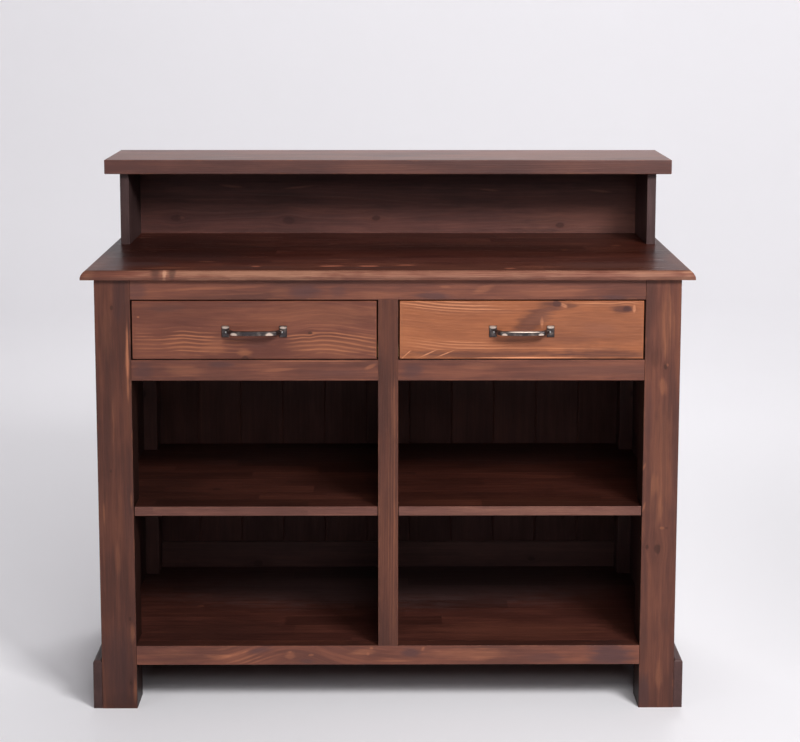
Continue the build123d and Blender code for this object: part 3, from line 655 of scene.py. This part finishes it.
def metal(node, kind, dark, light, *, roughness, relief, rubs_and_glints=()):
    """Aged metal with a fine pitted skin, rubbed bright in clouds, with painted highlights in
    spots.

    rubs are the painted highlights' (x, z, half width, half height, strength), seen along Y,
    from the node's middle.
    """
    material, g, shader = new_material(kind + "_" + node)
    middle, _, _ = box_of(node)
    place = g.add("ShaderNodeTexCoord").outputs["Object"]
    x, _, z = g.parts(place)
    clouds = g.noise(place, METAL_CLOUDS, 3.0)
    pits = g.noise(place, METAL_PITS)
    rubbed_and_lit = g.smooth(clouds, *RUBBED_CLOUDS, 0.0, CLOUD_RUB)
    for right, up, half_width, half_height, strength in rubs_and_glints:
        u = g.over(g.minus(x, middle.x + right), half_width)
        v = g.over(g.minus(z, middle.z + up), half_height)
        reach = g.plus(g.distance(u, v), g.times(g.minus(clouds, 0.5), SPOT_RAGGED))
        rubbed_and_lit = g.math("MAXIMUM", rubbed_and_lit, g.fall(reach, *SPOT_RIM, strength))
    g.feed(shader.inputs["Base Color"], g.mix(rubbed_and_lit, dark, light))
    shader.inputs["Metallic"].default_value = 1.0
    g.feed(shader.inputs["Roughness"], g.plus(g.times(pits, PIT_ROUGHNESS), roughness))
    g.bump(shader, g.weigh(pits, clouds, PIT_HEIGHT), METAL_RELIEF, relief)
    dress(node, material)


# ---- The front frame ----
RAIL_TOPS_PAINTED_SHADE = (0.35, 0.30, 0.30)  # painted shade: the rails' upper and lower faces are darkened
# painted shade: the front legs' faces towards the counter's middle are darkened
LEG_INSIDES_PAINTED_SHADE = (0.22, 0.20, 0.20)
wood("front_leg_left", ALONG_Z_FACING_Y, WALNUT, 1.0, pith=(0.03, 0.06), slope=0.006,
     wander=0.010, tone=0.87, cloud=1.35, lining=0.09, inner_gain=LEG_INSIDES_PAINTED_SHADE, knot_mark=0.5,
     knots=[(0.3851, -0.0009, 0.0035), (-0.2523, 0.024, 0.003), (-0.3881, 0.023, 0.003)],
     lines=[(0.158, -0.0055, 0.05, 0.008, 0.35), (-0.022, -0.0215, 0.05, 0.006, 0.4)],
     patches=[(0.282, 0.028, 0.07, 0.0048, 1.0), (0.223, 0.0285, 0.03, 0.003, 0.9),
              (0.278, 0.0285, 0.068, 0.0026, 1.6), (-0.034, -0.0245, 0.026, 0.0025, 0.7),
              (-0.006, 0.0307, 0.02, 0.003, 0.9), (-0.13, 0.0016, 0.04, 0.006, 0.45),
              (-0.282, 0.0285, 0.026, 0.006, 0.8), (-0.402, 0.0315, 0.03, 0.004, 0.8),
              (0.338, -0.0115, 0.06, 0.012, 0.25), (0.054, -0.0089, 0.004, 0.0025, -0.7),
              (-0.43, -0.0005, 0.024, 0.04, -0.38)],
     greys=[(-0.352, -0.0005, 0.12, 0.035, 0.55), (0.408, 0.0145, 0.06, 0.02, 0.5),
            (-0.042, 0.0245, 0.09, 0.012, 0.4)])
wood("front_leg_right", ALONG_Z_FACING_Y, WALNUT, 2.3, pith=(-0.02, 0.05), slope=0.008,
     wander=0.012, tone=1.08, cloud=1.35, lining=0.09, inner_gain=LEG_INSIDES_PAINTED_SHADE, knot_mark=0.6,
     knots=[(0.2653, 0.0061, 0.004), (-0.1042, -0.0238, 0.0035), (-0.1084, -0.0035, 0.008)],
     lines=[(0.348, 0.0075, 0.07, 0.014, 0.4)],
     patches=[(0.358, 0.0072, 0.075, 0.018, 0.4), (0.269, 0.01, 0.004, 0.003, 0.9),
              (0.226, 0.0019, 0.022, 0.011, 0.55, -0.2), (0.024, -0.0101, 0.028, 0.014, 0.45),
              (-0.0275, 0.0009, 0.035, 0.006, 0.55), (-0.0648, 0.0055, 0.004, 0.007, 0.8),
              (-0.0233, -0.0325, 0.014, 0.003, 0.8, 0.3),
              (0.0612, -0.0329, 0.01, 0.0025, 0.8, 0.4), (-0.373, 0.0056, 0.04, 0.008, 0.5),
              (0.283, -0.0145, 0.025, 0.014, -0.45), (-0.192, 0.0005, 0.11, 0.03, 0.06),
              (-0.0648, 0.0155, 0.003, 0.006, -0.6), (0.068, 0.0015, 0.15, 0.03, 0.28)],
     greys=[(0.158, -0.0265, 0.08, 0.01, 0.3), (-0.412, -0.0245, 0.05, 0.016, 0.8),
            (0.058, 0.0275, 0.2, 0.008, 0.3)])
wood("centre_stile", ALONG_Z_FACING_Y, WALNUT, 3.1, pith=(0.05, 0.03), slope=0.004, wander=0.008,
     tone=0.88,
     lines=[(-0.0375, 0.008, 0.3, 0.012, 0.4)],
     patches=[(0.1125, 0.012, 0.09, 0.0035, 0.5), (-0.1075, 0.013, 0.1, 0.003, 0.5),
              (-0.2875, 0.012, 0.05, 0.004, 0.3), (0.3125, 0.0, 0.05, 0.015, -0.2)])
wood("top_rail", ALONG_X_FACING_Y, WALNUT, 4.2, ring=0.0038, pith=(0.01, 0.035), slope=0.008,
     wander=0.010, tone=1.37, edge_gain=RAIL_TOPS_PAINTED_SHADE,
     lines=[(-0.33, -0.0035, 0.1, 0.014, 0.24), (0.33, -0.0035, 0.09, 0.012, 0.22)],
     patches=[(-0.4, -0.0035, 0.14, 0.02, -0.1), (-0.213, -0.0035, 0.025, 0.012, 0.2),
              (0.189, 0.001, 0.022, 0.008, 0.45, 0.3), (0.1122, 0.0055, 0.012, 0.003, 0.5),
              (-0.02, -0.0105, 0.055, 0.01, 0.3), (0.33, -0.0035, 0.09, 0.014, 0.22)],
     greys=[(-0.162, -0.0045, 0.04, 0.016, 0.75), (-0.099, -0.0045, 0.02, 0.016, 0.5),
            (0.0905, -0.0135, 0.045, 0.01, 0.85), (0.446, -0.016, 0.032, 0.007, 0.8),
            (-0.5, -0.0035, 0.025, 0.03, 0.6)])
wood("bottom_rail", ALONG_X_FACING_Y, WALNUT, 5.9, ring=0.0034, pith=(-0.01, 0.030), slope=0.010,
     wander=0.014, tone=1.56, edge_gain=RAIL_TOPS_PAINTED_SHADE,
     bends=[(-0.195, 0.1, 0.045)],
     lines=[(-0.3, 0.001, 0.06, 0.022, 0.6), (0.19, 0.001, 0.03, 0.016, 0.35)],
     patches=[(-0.197, 0.0006, 0.012, 0.012, 0.4), (-0.1987, 0.0069, 0.005, 0.0022, 0.6),
              (-0.1563, 0.0005, 0.006, 0.0028, 0.55), (-0.05, 0.006, 0.03, 0.007, 0.5),
              (-0.0408, 0.0025, 0.004, 0.0042, 0.6), (-0.0339, 0.0151, 0.004, 0.0032, 0.7),
              (0.0706, 0.0136, 0.005, 0.005, 0.7, 0.4), (0.16, 0.003, 0.1, 0.014, 0.38),
              (0.01, -0.012, 0.04, 0.003, 0.5), (-0.44, 0.006, 0.05, 0.012, 0.15)],
     greys=[(-0.262, 0.009, 0.03, 0.009, 0.75, 0.2), (-0.165, -0.012, 0.018, 0.006, 0.6),
            (0.046, 0.006, 0.022, 0.013, 0.85), (0.45, 0.0, 0.055, 0.03, 1.0),
            (0.32, -0.006, 0.05, 0.01, 0.5)])
wood("drawer_rail_left", ALONG_X_FACING_Y, WALNUT, 6.4, pith=(0.03, 0.05), slope=0.01, tone=1.32,
     edge_gain=RAIL_TOPS_PAINTED_SHADE,
     patches=[(-0.1356, -0.001, 0.045, 0.014, 0.38), (0.0487, 0.0, 0.042, 0.0035, 0.6, 0.1),
              (0.234, 0.007, 0.013, 0.005, 0.7, 0.4), (0.134, 0.0185, 0.11, 0.0018, 0.8)],
     greys=[(-0.064, 0.011, 0.03, 0.006, 0.7), (-0.216, -0.001, 0.022, 0.02, 0.6),
            (0.169, -0.004, 0.07, 0.008, 0.5)])
wood("drawer_rail_right", ALONG_X_FACING_Y, WALNUT, 7.7, pith=(-0.03, 0.05), slope=0.008,
     tone=1.34, edge_gain=RAIL_TOPS_PAINTED_SHADE,
     patches=[(-0.087, 0.0075, 0.045, 0.009, 0.3), (0.151, 0.001, 0.14, 0.02, 0.22)],
     greys=[(-0.219, -0.001, 0.025, 0.018, 0.7), (0.151, 0.001, 0.14, 0.014, 0.38)])

# ---- The drawer fronts ----
FRONT_EDGES_PAINTED_LIGHT = (1.45, 1.32, 1.25)  # painted light: their narrow faces, seen in the gaps round the fronts, are lightened
wood("drawer_front_left", ALONG_X_FACING_Y, LEFT_FRONT, 8.4, ring=0.0078, pith=(-0.130, 0.020),
     slope=0.020, wander=0.024, wave=0.0050, lining=0.10, wear_and_glint=0.10, edge_gain=FRONT_EDGES_PAINTED_LIGHT,
     bends=[(0.1395, 0.075, 0.013), (-0.1455, 0.03, 0.003)],
     knots=[(0.11, -0.0058, 0.0035), (-0.019, -0.0559, 0.0045)],
     lines=[(-0.1275, -0.0231, 0.068, 0.032, 1.0), (-0.2155, -0.0251, 0.03, 0.025, 0.5),
            (0.1595, -0.0251, 0.125, 0.03, 1.0, -0.05), (-0.0455, -0.0321, 0.04, 0.02, 0.4)],
     greys=[(-0.1755, 0.0439, 0.045, 0.01, 0.6), (-0.0355, 0.0499, 0.05, 0.006, 0.4),
            (0.0045, -0.0301, 0.03, 0.008, 0.4)],
     patches=[(-0.019, -0.0461, 0.018, 0.009, 0.7), (-0.0805, -0.0341, 0.03, 0.02, 0.35),
              (-0.1555, 0.0329, 0.13, 0.03, -0.35), (-0.2292, 0.0265, 0.003, 0.0022, 1.0),
              (0.1645, -0.0321, 0.12, 0.022, 0.2), (0.1245, 0.0299, 0.16, 0.03, 0.32)])
# On the right front, the dark patch just under the pull is its painted shadow.
wood("drawer_front_right", ALONG_X_FACING_Y, RIGHT_FRONT, 9.6, ring=0.0058, pith=(-0.110, 0.020),
     slope=0.010, wander=0.014, lining=0.24, cloud=0.7, wear_and_glint=0.12, knot_mark=0.92,
     edge_gain=FRONT_EDGES_PAINTED_LIGHT,
     knots=[(0.069, 0.0529, 0.0065), (0.2076, 0.0422, 0.006)],
     greys=[(0.1505, -0.0001, 0.045, 0.018, 0.45), (0.0355, 0.0239, 0.05, 0.016, 0.5, 0.6)],
     bends=[(-0.2445, 0.07, 0.01)],
     lines=[(-0.1345, 0.0459, 0.13, 0.014, 1.5, -0.04), (0.1655, 0.0539, 0.08, 0.007, 1.0),
            (-0.0145, -0.0381, 0.26, 0.003, 1.0), (-0.1345, -0.0301, 0.12, 0.01, 0.7)],
     patches=[(0.1555, 0.0029, 0.17, 0.055, -0.42), (0.0255, 0.0219, 0.058, 0.028, -0.95, 0.66),
              (0.0555, -0.0201, 0.12, 0.018, -0.35), (0.0948, 0.0482, 0.016, 0.006, -0.7),
              (0.0398, 0.0161, 0.004, 0.013, 1.0), (0.1975, 0.0414, 0.024, 0.01, -0.9),
              (0.222, 0.0429, 0.0035, 0.01, 1.15), (0.0815, 0.0499, 0.008, 0.0045, 1.2, -0.4),
              (-0.0845, -0.0491, 0.2, 0.0105, -0.9), (0.1555, -0.0491, 0.14, 0.0105, -0.9),
              (0.0155, -0.0559, 0.11, 0.002, 1.25), (-0.2285, -0.0491, 0.013, 0.0017, 1.15, 0.9),
              (-0.1865, -0.0481, 0.022, 0.0017, 1.1, 0.45),
              (-0.1495, -0.0471, 0.022, 0.0016, 1.15, 0.4)])

# ---- Worktop, hutch and ledge ----
# Painted light and shade on the worktop: edge_gain lightens the front moulding and the ends
# against the top, and the wear along the moulding's top arris is partly a painted highlight. The
# long light patch along the front is painted light, the light patches at both ends and the greys
# at the front corners and the right end are painted sheen, the dark patches across the back and at
# the left are painted shade, and the light patch at the right back painted light.
wood("worktop", ALONG_X_FACING_Z, TOP_WALNUT, 10.2, pith=(0.0, 0.05), strips=0.0548, slope=0.01,
     wander=0.02, lining=0.55, cloud=1.8, stave_tone=0.25, stave_length=0.46, tone=1.08,
     wear_and_glint=0.35, specular=0.04, roughness=0.24, edge_gain=(3.5, 5.6, 6.2),
     lines=[(-0.206, -0.218, 0.12, 0.014, 1.4), (0.0, -0.186, 0.08, 0.012, 1.4),
            (-0.45, -0.231, 0.09, 0.012, 1.2), (0.2, -0.241, 0.25, 0.012, 0.5),
            (0.42, -0.196, 0.12, 0.012, 0.6)],
     patches=[(0.0, -0.231, 0.75, 0.055, 0.52), (0.46, -0.214, 0.17, 0.048, 0.58),
              (0.4, 0.024, 0.3, 0.22, 0.12), (-0.42, 0.034, 0.22, 0.03, -0.5),
              (-0.45, 0.004, 0.22, 0.22, -0.8), (0.05, 0.034, 0.5, 0.07, -0.56),
              (-0.588, -0.156, 0.03, 0.14, 0.85), (0.592, -0.136, 0.028, 0.16, 1.0),
              (-0.366, -0.157, 0.022, 0.007, 1.2), (-0.2636, -0.217, 0.011, 0.0075, 2.2),
              (-0.112, -0.212, 0.026, 0.0075, 2.4, 0.1), (-0.0985, -0.134, 0.045, 0.01, 0.9),
              (-0.038, -0.214, 0.022, 0.0075, 2.4), (0.034, -0.2, 0.024, 0.0075, 1.8),
              (0.242, -0.24, 0.016, 0.007, 2.0), (0.31, -0.224, 0.06, 0.005, 1.4),
              (0.492, 0.055, 0.012, 0.01, 1.3), (0.374, -0.003, 0.008, 0.008, 1.3),
              (-0.25, -0.268, 0.22, 0.012, 0.55), (0.52, -0.268, 0.07, 0.012, 0.45),
              (-0.56, -0.266, 0.05, 0.01, -0.35), (-0.457, -0.266, 0.011, 0.014, -0.8),
              (-0.424, -0.266, 0.008, 0.014, -0.85), (-0.4393, -0.266, 0.0045, 0.014, 1.2)],
     greys=[(-0.5, -0.191, 0.08, 0.035, 0.7), (-0.03, -0.231, 0.1, 0.015, 0.4),
            (-0.28, -0.231, 0.11, 0.02, 0.4), (-0.42, -0.086, 0.16, 0.06, 0.25),
            (0.56, -0.046, 0.03, 0.1, 0.4), (0.45, -0.201, 0.16, 0.045, 0.5)])
# On the hutch back, the dark patch along the top is the ledge's painted shadow, the dark one low
# on the left painted shade and the light one low on the right painted light.
wood("hutch_back", ALONG_X_FACING_Y, HUTCH_WALNUT, 11.8, ring=0.005, pith=(-0.02, 0.04),
     slope=0.01, wander=0.02, tone=1.08, lining=0.15, cloud=0.9, knot_mark=0.55,
     knots=[(-0.4819, -0.0431, 0.0085), (-0.2256, -0.0477, 0.0095), (-0.0281, -0.0431, 0.007),
            (0.3902, -0.0592, 0.007)],
     patches=[(-0.3586, 0.03, 0.03, 0.0034, 1.0, -0.1), (-0.2001, 0.0277, 0.04, 0.0034, 1.0, 0.1),
              (0.2304, 0.0209, 0.03, 0.0034, 0.9, -0.1), (0.48, 0.0186, 0.03, 0.0034, 1.0, -0.1),
              (-0.4, -0.0545, 0.24, 0.03, -0.4), (0.45, -0.0495, 0.2, 0.04, 0.4),
              (0.0, 0.0505, 0.8, 0.03, -0.45), (-0.47, -0.0425, 0.01, 0.004, 0.4)])
wood("hutch_side_left", ALONG_Z_FACING_X, DUSTY_WALNUT, 12.5, pith=(0.03, 0.04), tone=0.98)
wood("hutch_side_right", ALONG_Z_FACING_X, DUSTY_WALNUT, 13.1, pith=(-0.03, 0.04), tone=1.28)
# On the ledge, edge_gain greys its front, back and ends as painted sheen, and the wide light patch
# on the right of its top is a painted reflection.
wood("top_ledge", ALONG_X_FACING_Z, WALNUT, 14.6, pith=(0.01, 0.06), strips=0.113, slope=0.012,
     wander=0.022, tone=1.49, roughness=0.36, specular=0.34, edge_gain=(1.00, 1.10, 1.26),
     patches=[(0.1, -0.065, 0.12, 0.03, 0.2), (0.4, 0.015, 0.25, 0.12, 0.2)])

# ---- Shelves ----
# edge_gain lightens the shelf's front lip as painted light, and the dark patch at its left front
# is painted shade.
wood("middle_shelf_left", ALONG_X_FACING_Z, SHELF_WALNUT, 15.3, strips=0.0475, stave_length=0.31,
     tone=0.91, stave_tone=0.5, specular=0.16, edge_gain=(4.4, 5.9, 6.3),
     knots=[(-0.0756, -0.1144, 0.006)],
     patches=[(-0.1805, -0.1183, 0.1, 0.14, -0.6)],
     greys=[(0.0095, 0.1517, 0.3, 0.1, 0.45)])
# edge_gain lightens the shelf's front lip, and the patch along its front lightens it: both are
# painted light.
wood("middle_shelf_right", ALONG_X_FACING_Z, DEEP_WALNUT, 16.9, strips=0.0475, tone=0.85,
     stave_length=0.34, stave_tone=0.5, specular=0.16, edge_gain=(5.4, 8.0, 8.8),
     patches=[(-0.0295, -0.2083, 0.26, 0.035, 0.4)],
     greys=[(-0.0095, 0.1517, 0.3, 0.1, 0.6)])
# On the bottom shelf, the dark patch at the left front is painted shade and the light one at the
# right front painted light.
wood("bottom_shelf", ALONG_X_FACING_Z, SHELF_WALNUT, 17.4, strips=0.046, stave_length=0.33,
     stave_tone=0.42, specular=0.22, tone=1.35,
     patches=[(-0.4035, -0.0272, 0.008, 0.006, 0.8), (0.26, -0.17, 0.24, 0.055, 0.32),
              (-0.36, -0.17, 0.2, 0.09, -0.7)],
     greys=[(0.0, 0.12, 0.6, 0.17, 1.0)])

# ---- Side panels, back boards and the rear frame ----
# Each side, its seed, and the tones of its panel and its plinth.
SIDES = (("left", 18.2, 0.80, 0.92), ("right", 19.5, 1.10, 1.16))
for side, seed, panel_tone, plinth_tone in SIDES:
    wood("side_panel_" + side, ALONG_Z_FACING_X, PANEL_WALNUT, seed, strips=0.0866,
         tone=panel_tone, knots=[(0.122, 0.061, 0.009), (-0.168, -0.049, 0.007)])
    wood("rear_leg_" + side, ALONG_Z_FACING_Y, PANEL_WALNUT, seed + 0.3, pith=(0.02, -0.05),
         tone=1.3, knots=[(0.108, 0.0, 0.006)])
    wood("side_rail_" + side, ALONG_Y_FACING_X, WALNUT, seed + 0.5)
    wood("side_plinth_" + side, ALONG_Y_FACING_X, DUSTY_WALNUT, seed + 0.7, tone=plinth_tone,
         edge_gain=(1.14, 1.02, 0.97), knots=[(0.1115, 0.0, 0.008)])
wood("centre_divider", ALONG_Z_FACING_X, PANEL_WALNUT, 20.4, strips=0.0915)
# edge_gain lightens the sides of the V grooves between the boards: painted light against their
# shade.
wood("back_boards", ALONG_Z_FACING_Y, PANEL_WALNUT, 21.7, strips=0.0961, stave_tone=0.10,
     seams=0.0, tone=1.13, specular=0.10, edge_gain=(1.35, 1.35, 1.35),
     knots=[(-0.1475, -0.3, 0.006), (0.0925, 0.18, 0.006), (0.2125, -0.42, 0.005),
            (-0.2575, 0.4, 0.006)])
wood("rear_top_rail", ALONG_X_FACING_Y, PANEL_WALNUT, 22.6, pith=(0.02, -0.04), tone=1.3,
     knots=[(0.2, 0.003, 0.006)])
wood("rear_bottom_rail", ALONG_X_FACING_Y, PANEL_WALNUT, 23.2, pith=(0.0, -0.04), tone=1.3,
     knots=[(-0.3, -0.0015, 0.008), (0.33, 0.0085, 0.006)])
wood("rear_drawer_rail", ALONG_X_FACING_Y, SPRUCE, 24.9)
wood("rear_plinth", ALONG_X_FACING_Y, WALNUT, 25.1, pith=(0.01, -0.04),
     knots=[(0.11, 0.0, 0.008)])

# ---- Hidden carriers and the drawer boxes ----
for side, seed in (("left", 26.4), ("right", 27.8)):
    wood("outer_cleat_" + side, ALONG_Y_FACING_X, PANEL_WALNUT, seed)
    wood("inner_cleat_" + side, ALONG_Y_FACING_X, PANEL_WALNUT, seed + 0.2)
    wood("outer_runner_" + side, ALONG_Y_FACING_Z, SPRUCE, seed + 0.3, wear_and_glint=0.0)
    wood("inner_runner_" + side, ALONG_Y_FACING_Z, SPRUCE, seed + 0.4, wear_and_glint=0.0)
    wood("kicker_" + side, ALONG_Y_FACING_Z, SPRUCE, seed + 0.5, wear_and_glint=0.0)
    wood("drawer_stop_" + side, ALONG_X_FACING_Z, SPRUCE, seed + 0.6, wear_and_glint=0.0)
    wood("drawer_outer_side_" + side, ALONG_Y_FACING_X, SPRUCE, seed + 0.7, wear_and_glint=0.0,
         knots=[(0.0385, -0.002, 0.006)])
    wood("drawer_inner_side_" + side, ALONG_Y_FACING_X, SPRUCE, seed + 0.8, wear_and_glint=0.0,
         knots=[(-0.0615, 0.028, 0.005)])
    wood("drawer_back_" + side, ALONG_X_FACING_Y, SPRUCE, seed + 0.9, wear_and_glint=0.0)
    plywood("drawer_bottom_" + side, seed + 1.0)
wood("ledge_dowels", ALONG_Z_FACING_Y, BEECH, 30.0, ring=0.002, wear_and_glint=0.0)

# ---- Metal ----
# The second colour is the rubbed metal's, and also that of the pulls' painted highlights.
PEWTER, RUBBED_AND_GLINT = (0.072, 0.061, 0.062), (0.80, 0.64, 0.53)
ZINC_DARK, ZINC_LIGHT = (0.45, 0.45, 0.44), (0.62, 0.62, 0.60)
# On the pulls, the spots on the plates' tops and near the bars' ends, and the line along the right
# bar's top, are painted highlights.
metal("pull_left", "antique", PEWTER, RUBBED_AND_GLINT, roughness=0.31, relief=0.0003,
      rubs_and_glints=[(-0.057, 0.009, 0.0085, 0.0035, 0.8), (0.057, 0.008, 0.0085, 0.0030, 0.8),
            (-0.0385, -0.0025, 0.0080, 0.0045, 1.0), (0.031, -0.0025, 0.0085, 0.0050, 1.0)])
metal("pull_right", "antique", PEWTER, RUBBED_AND_GLINT, roughness=0.31, relief=0.0003,
      rubs_and_glints=[(-0.057, 0.009, 0.0085, 0.0035, 0.8), (0.057, 0.009, 0.0085, 0.0035, 0.9),
            (-0.0355, -0.003, 0.0060, 0.0040, 1.0), (0.0365, -0.003, 0.0060, 0.0040, 1.0),
            (0.0005, 0.0037, 0.0330, 0.0017, 0.75)])
for node in ("pull_screws_left", "pull_screws_right", "cleat_screws", "worktop_screws",
             "hutch_screws"):
    metal(node, "zinc", ZINC_DARK, ZINC_LIGHT, roughness=0.25, relief=0.0002)


# ---- Studio ----
ROOM_RADIUS = 6.5
ROOM_BEND = 2.2  # radius of the bend from the floor to the wall
ROOM_HEIGHT = 5.0
ROOM_SIDES = 96
BEND_STEPS = 20
PAINT, CLOUDY_PAINT = (0.80, 0.785, 0.81), (0.84, 0.825, 0.85)
PAINT_NOISE = (0.6, 0.6, 0.6)
PAINT_ROUGHNESS, PAINT_SPECULAR = 0.75, 0.15
# The floor is painted a little darker to the right of the counter, but not far behind it: painted
# shade.
DIM_START_X, DIM_END_Y, DIMMING = (0.3, 1.4), (0.2, 2.2), 0.20
# The floor under the counter is painted brown, a painted shade. It fades out at the ends, in front
# and behind.
SHADE_PAINT, SHADE_STRENGTH = (0.26, 0.17, 0.15), 0.75
SHADE_END, SHADE_FRONT, SHADE_BACK = (0.50, 0.54), (-0.145, -0.075), (0.15, 0.20)


def room_profile():
    """The radius and height of the room's rings, from the floor to the top of the wall."""
    profile = [(ROOM_RADIUS - ROOM_BEND, 0.0)]
    for step in range(1, BEND_STEPS + 1):
        turn = math.pi / 2 * step / BEND_STEPS
        profile.append((
            ROOM_RADIUS - ROOM_BEND + ROOM_BEND * math.sin(turn),
            ROOM_BEND * (1 - math.cos(turn)),
        ))
    profile.append((ROOM_RADIUS, ROOM_HEIGHT))
    return profile


def make_paint():
    material, g, shader = new_material("studio_white")
    place = g.add("ShaderNodeTexCoord").outputs["Object"]
    x, y, _ = g.parts(place)
    paint = g.mix(g.noise(place, PAINT_NOISE), PAINT, CLOUDY_PAINT)
    between_ends = g.fall(g.math("ABSOLUTE", x), *SHADE_END)
    under = g.times(g.smooth(y, *SHADE_FRONT, 0.0, SHADE_STRENGTH), g.fall(y, *SHADE_BACK))
    paint = g.mix(g.times(under, between_ends), paint, SHADE_PAINT)
    dimmed = g.times(g.smooth(x, *DIM_START_X, 0.0, DIMMING), g.fall(y, *DIM_END_Y))
    g.feed(shader.inputs["Base Color"], g.shade(paint, g.minus(1.0, dimmed)))
    shader.inputs["Roughness"].default_value = PAINT_ROUGHNESS
    shader.inputs["Specular IOR Level"].default_value = PAINT_SPECULAR
    return material


def make_room():
    """A pale floor that bends up into a round wall, open at the top."""
    profile = room_profile()
    points, faces = [(0.0, 0.0, 0.0)], []
    for radius, height in profile:
        for number in range(ROOM_SIDES):
            turn = 2 * math.pi * number / ROOM_SIDES
            points.append((radius * math.cos(turn), radius * math.sin(turn), height))
    for number in range(ROOM_SIDES):
        following = (number + 1) % ROOM_SIDES
        faces.append((0, 1 + number, 1 + following))
        for ring in range(len(profile) - 1):
            low, high = 1 + ring * ROOM_SIDES, 1 + (ring + 1) * ROOM_SIDES
            faces.append((low + number, high + number, high + following, low + following))
    mesh = bpy.data.meshes.new("studio_room")
    mesh.from_pydata(points, [], faces)
    mesh.shade_smooth()
    mesh.materials.append(make_paint())
    room = bpy.data.objects.new("studio_room", mesh)
    scene.collection.objects.link(room)


def area_light(name, place, target, size, power):
    data = bpy.data.lights.new(name, "AREA")
    data.shape = "RECTANGLE"
    data.size, data.size_y = size
    data.energy = power
    light = bpy.data.objects.new(name, data)
    light.location = place
    light.rotation_euler = (Vector(target) - Vector(place)).to_track_quat("-Z", "Y").to_euler()
    scene.collection.objects.link(light)


AIR_COLOUR, AIR_STRENGTH = (0.97, 0.97, 1.0, 1.0), 0.10


def make_air():
    """Faint light from all round."""
    world = bpy.data.worlds.new("studio_air")
    world.use_nodes = True
    background = world.node_tree.nodes["Background"].inputs
    background["Color"].default_value = AIR_COLOUR
    background["Strength"].default_value = AIR_STRENGTH
    scene.world = world


make_room()
# Each light's name, place, target, size across and up, and power in watts.
area_light("key", (1.65, -2.50, 2.70), (0.0, -0.2, 0.5), (1.0, 0.7), 112)
area_light("fill", (0.55, -3.50, 3.05), (0.0, -0.2, 0.7), (1.4, 0.9), 44)
area_light("low_fill", (0.6, -3.9, 2.1), (0.0, 0.0, 0.8), (1.2, 0.5), 13)
area_light("back", (0.3, 1.90, 3.35), (0.0, -0.3, 0.5), (2.2, 0.45), 44)
area_light("wall_wash", (1.2, 2.6, 5.2), (0.8, 6.5, 2.4), (4.5, 1.0), 184)
area_light("floor_wash", (-2.6, -2.4, 2.2), (-2.2, -1.8, 0.0), (1.2, 1.2), 9)
make_air()
scene.view_settings.view_transform = "Standard"

make_camera()
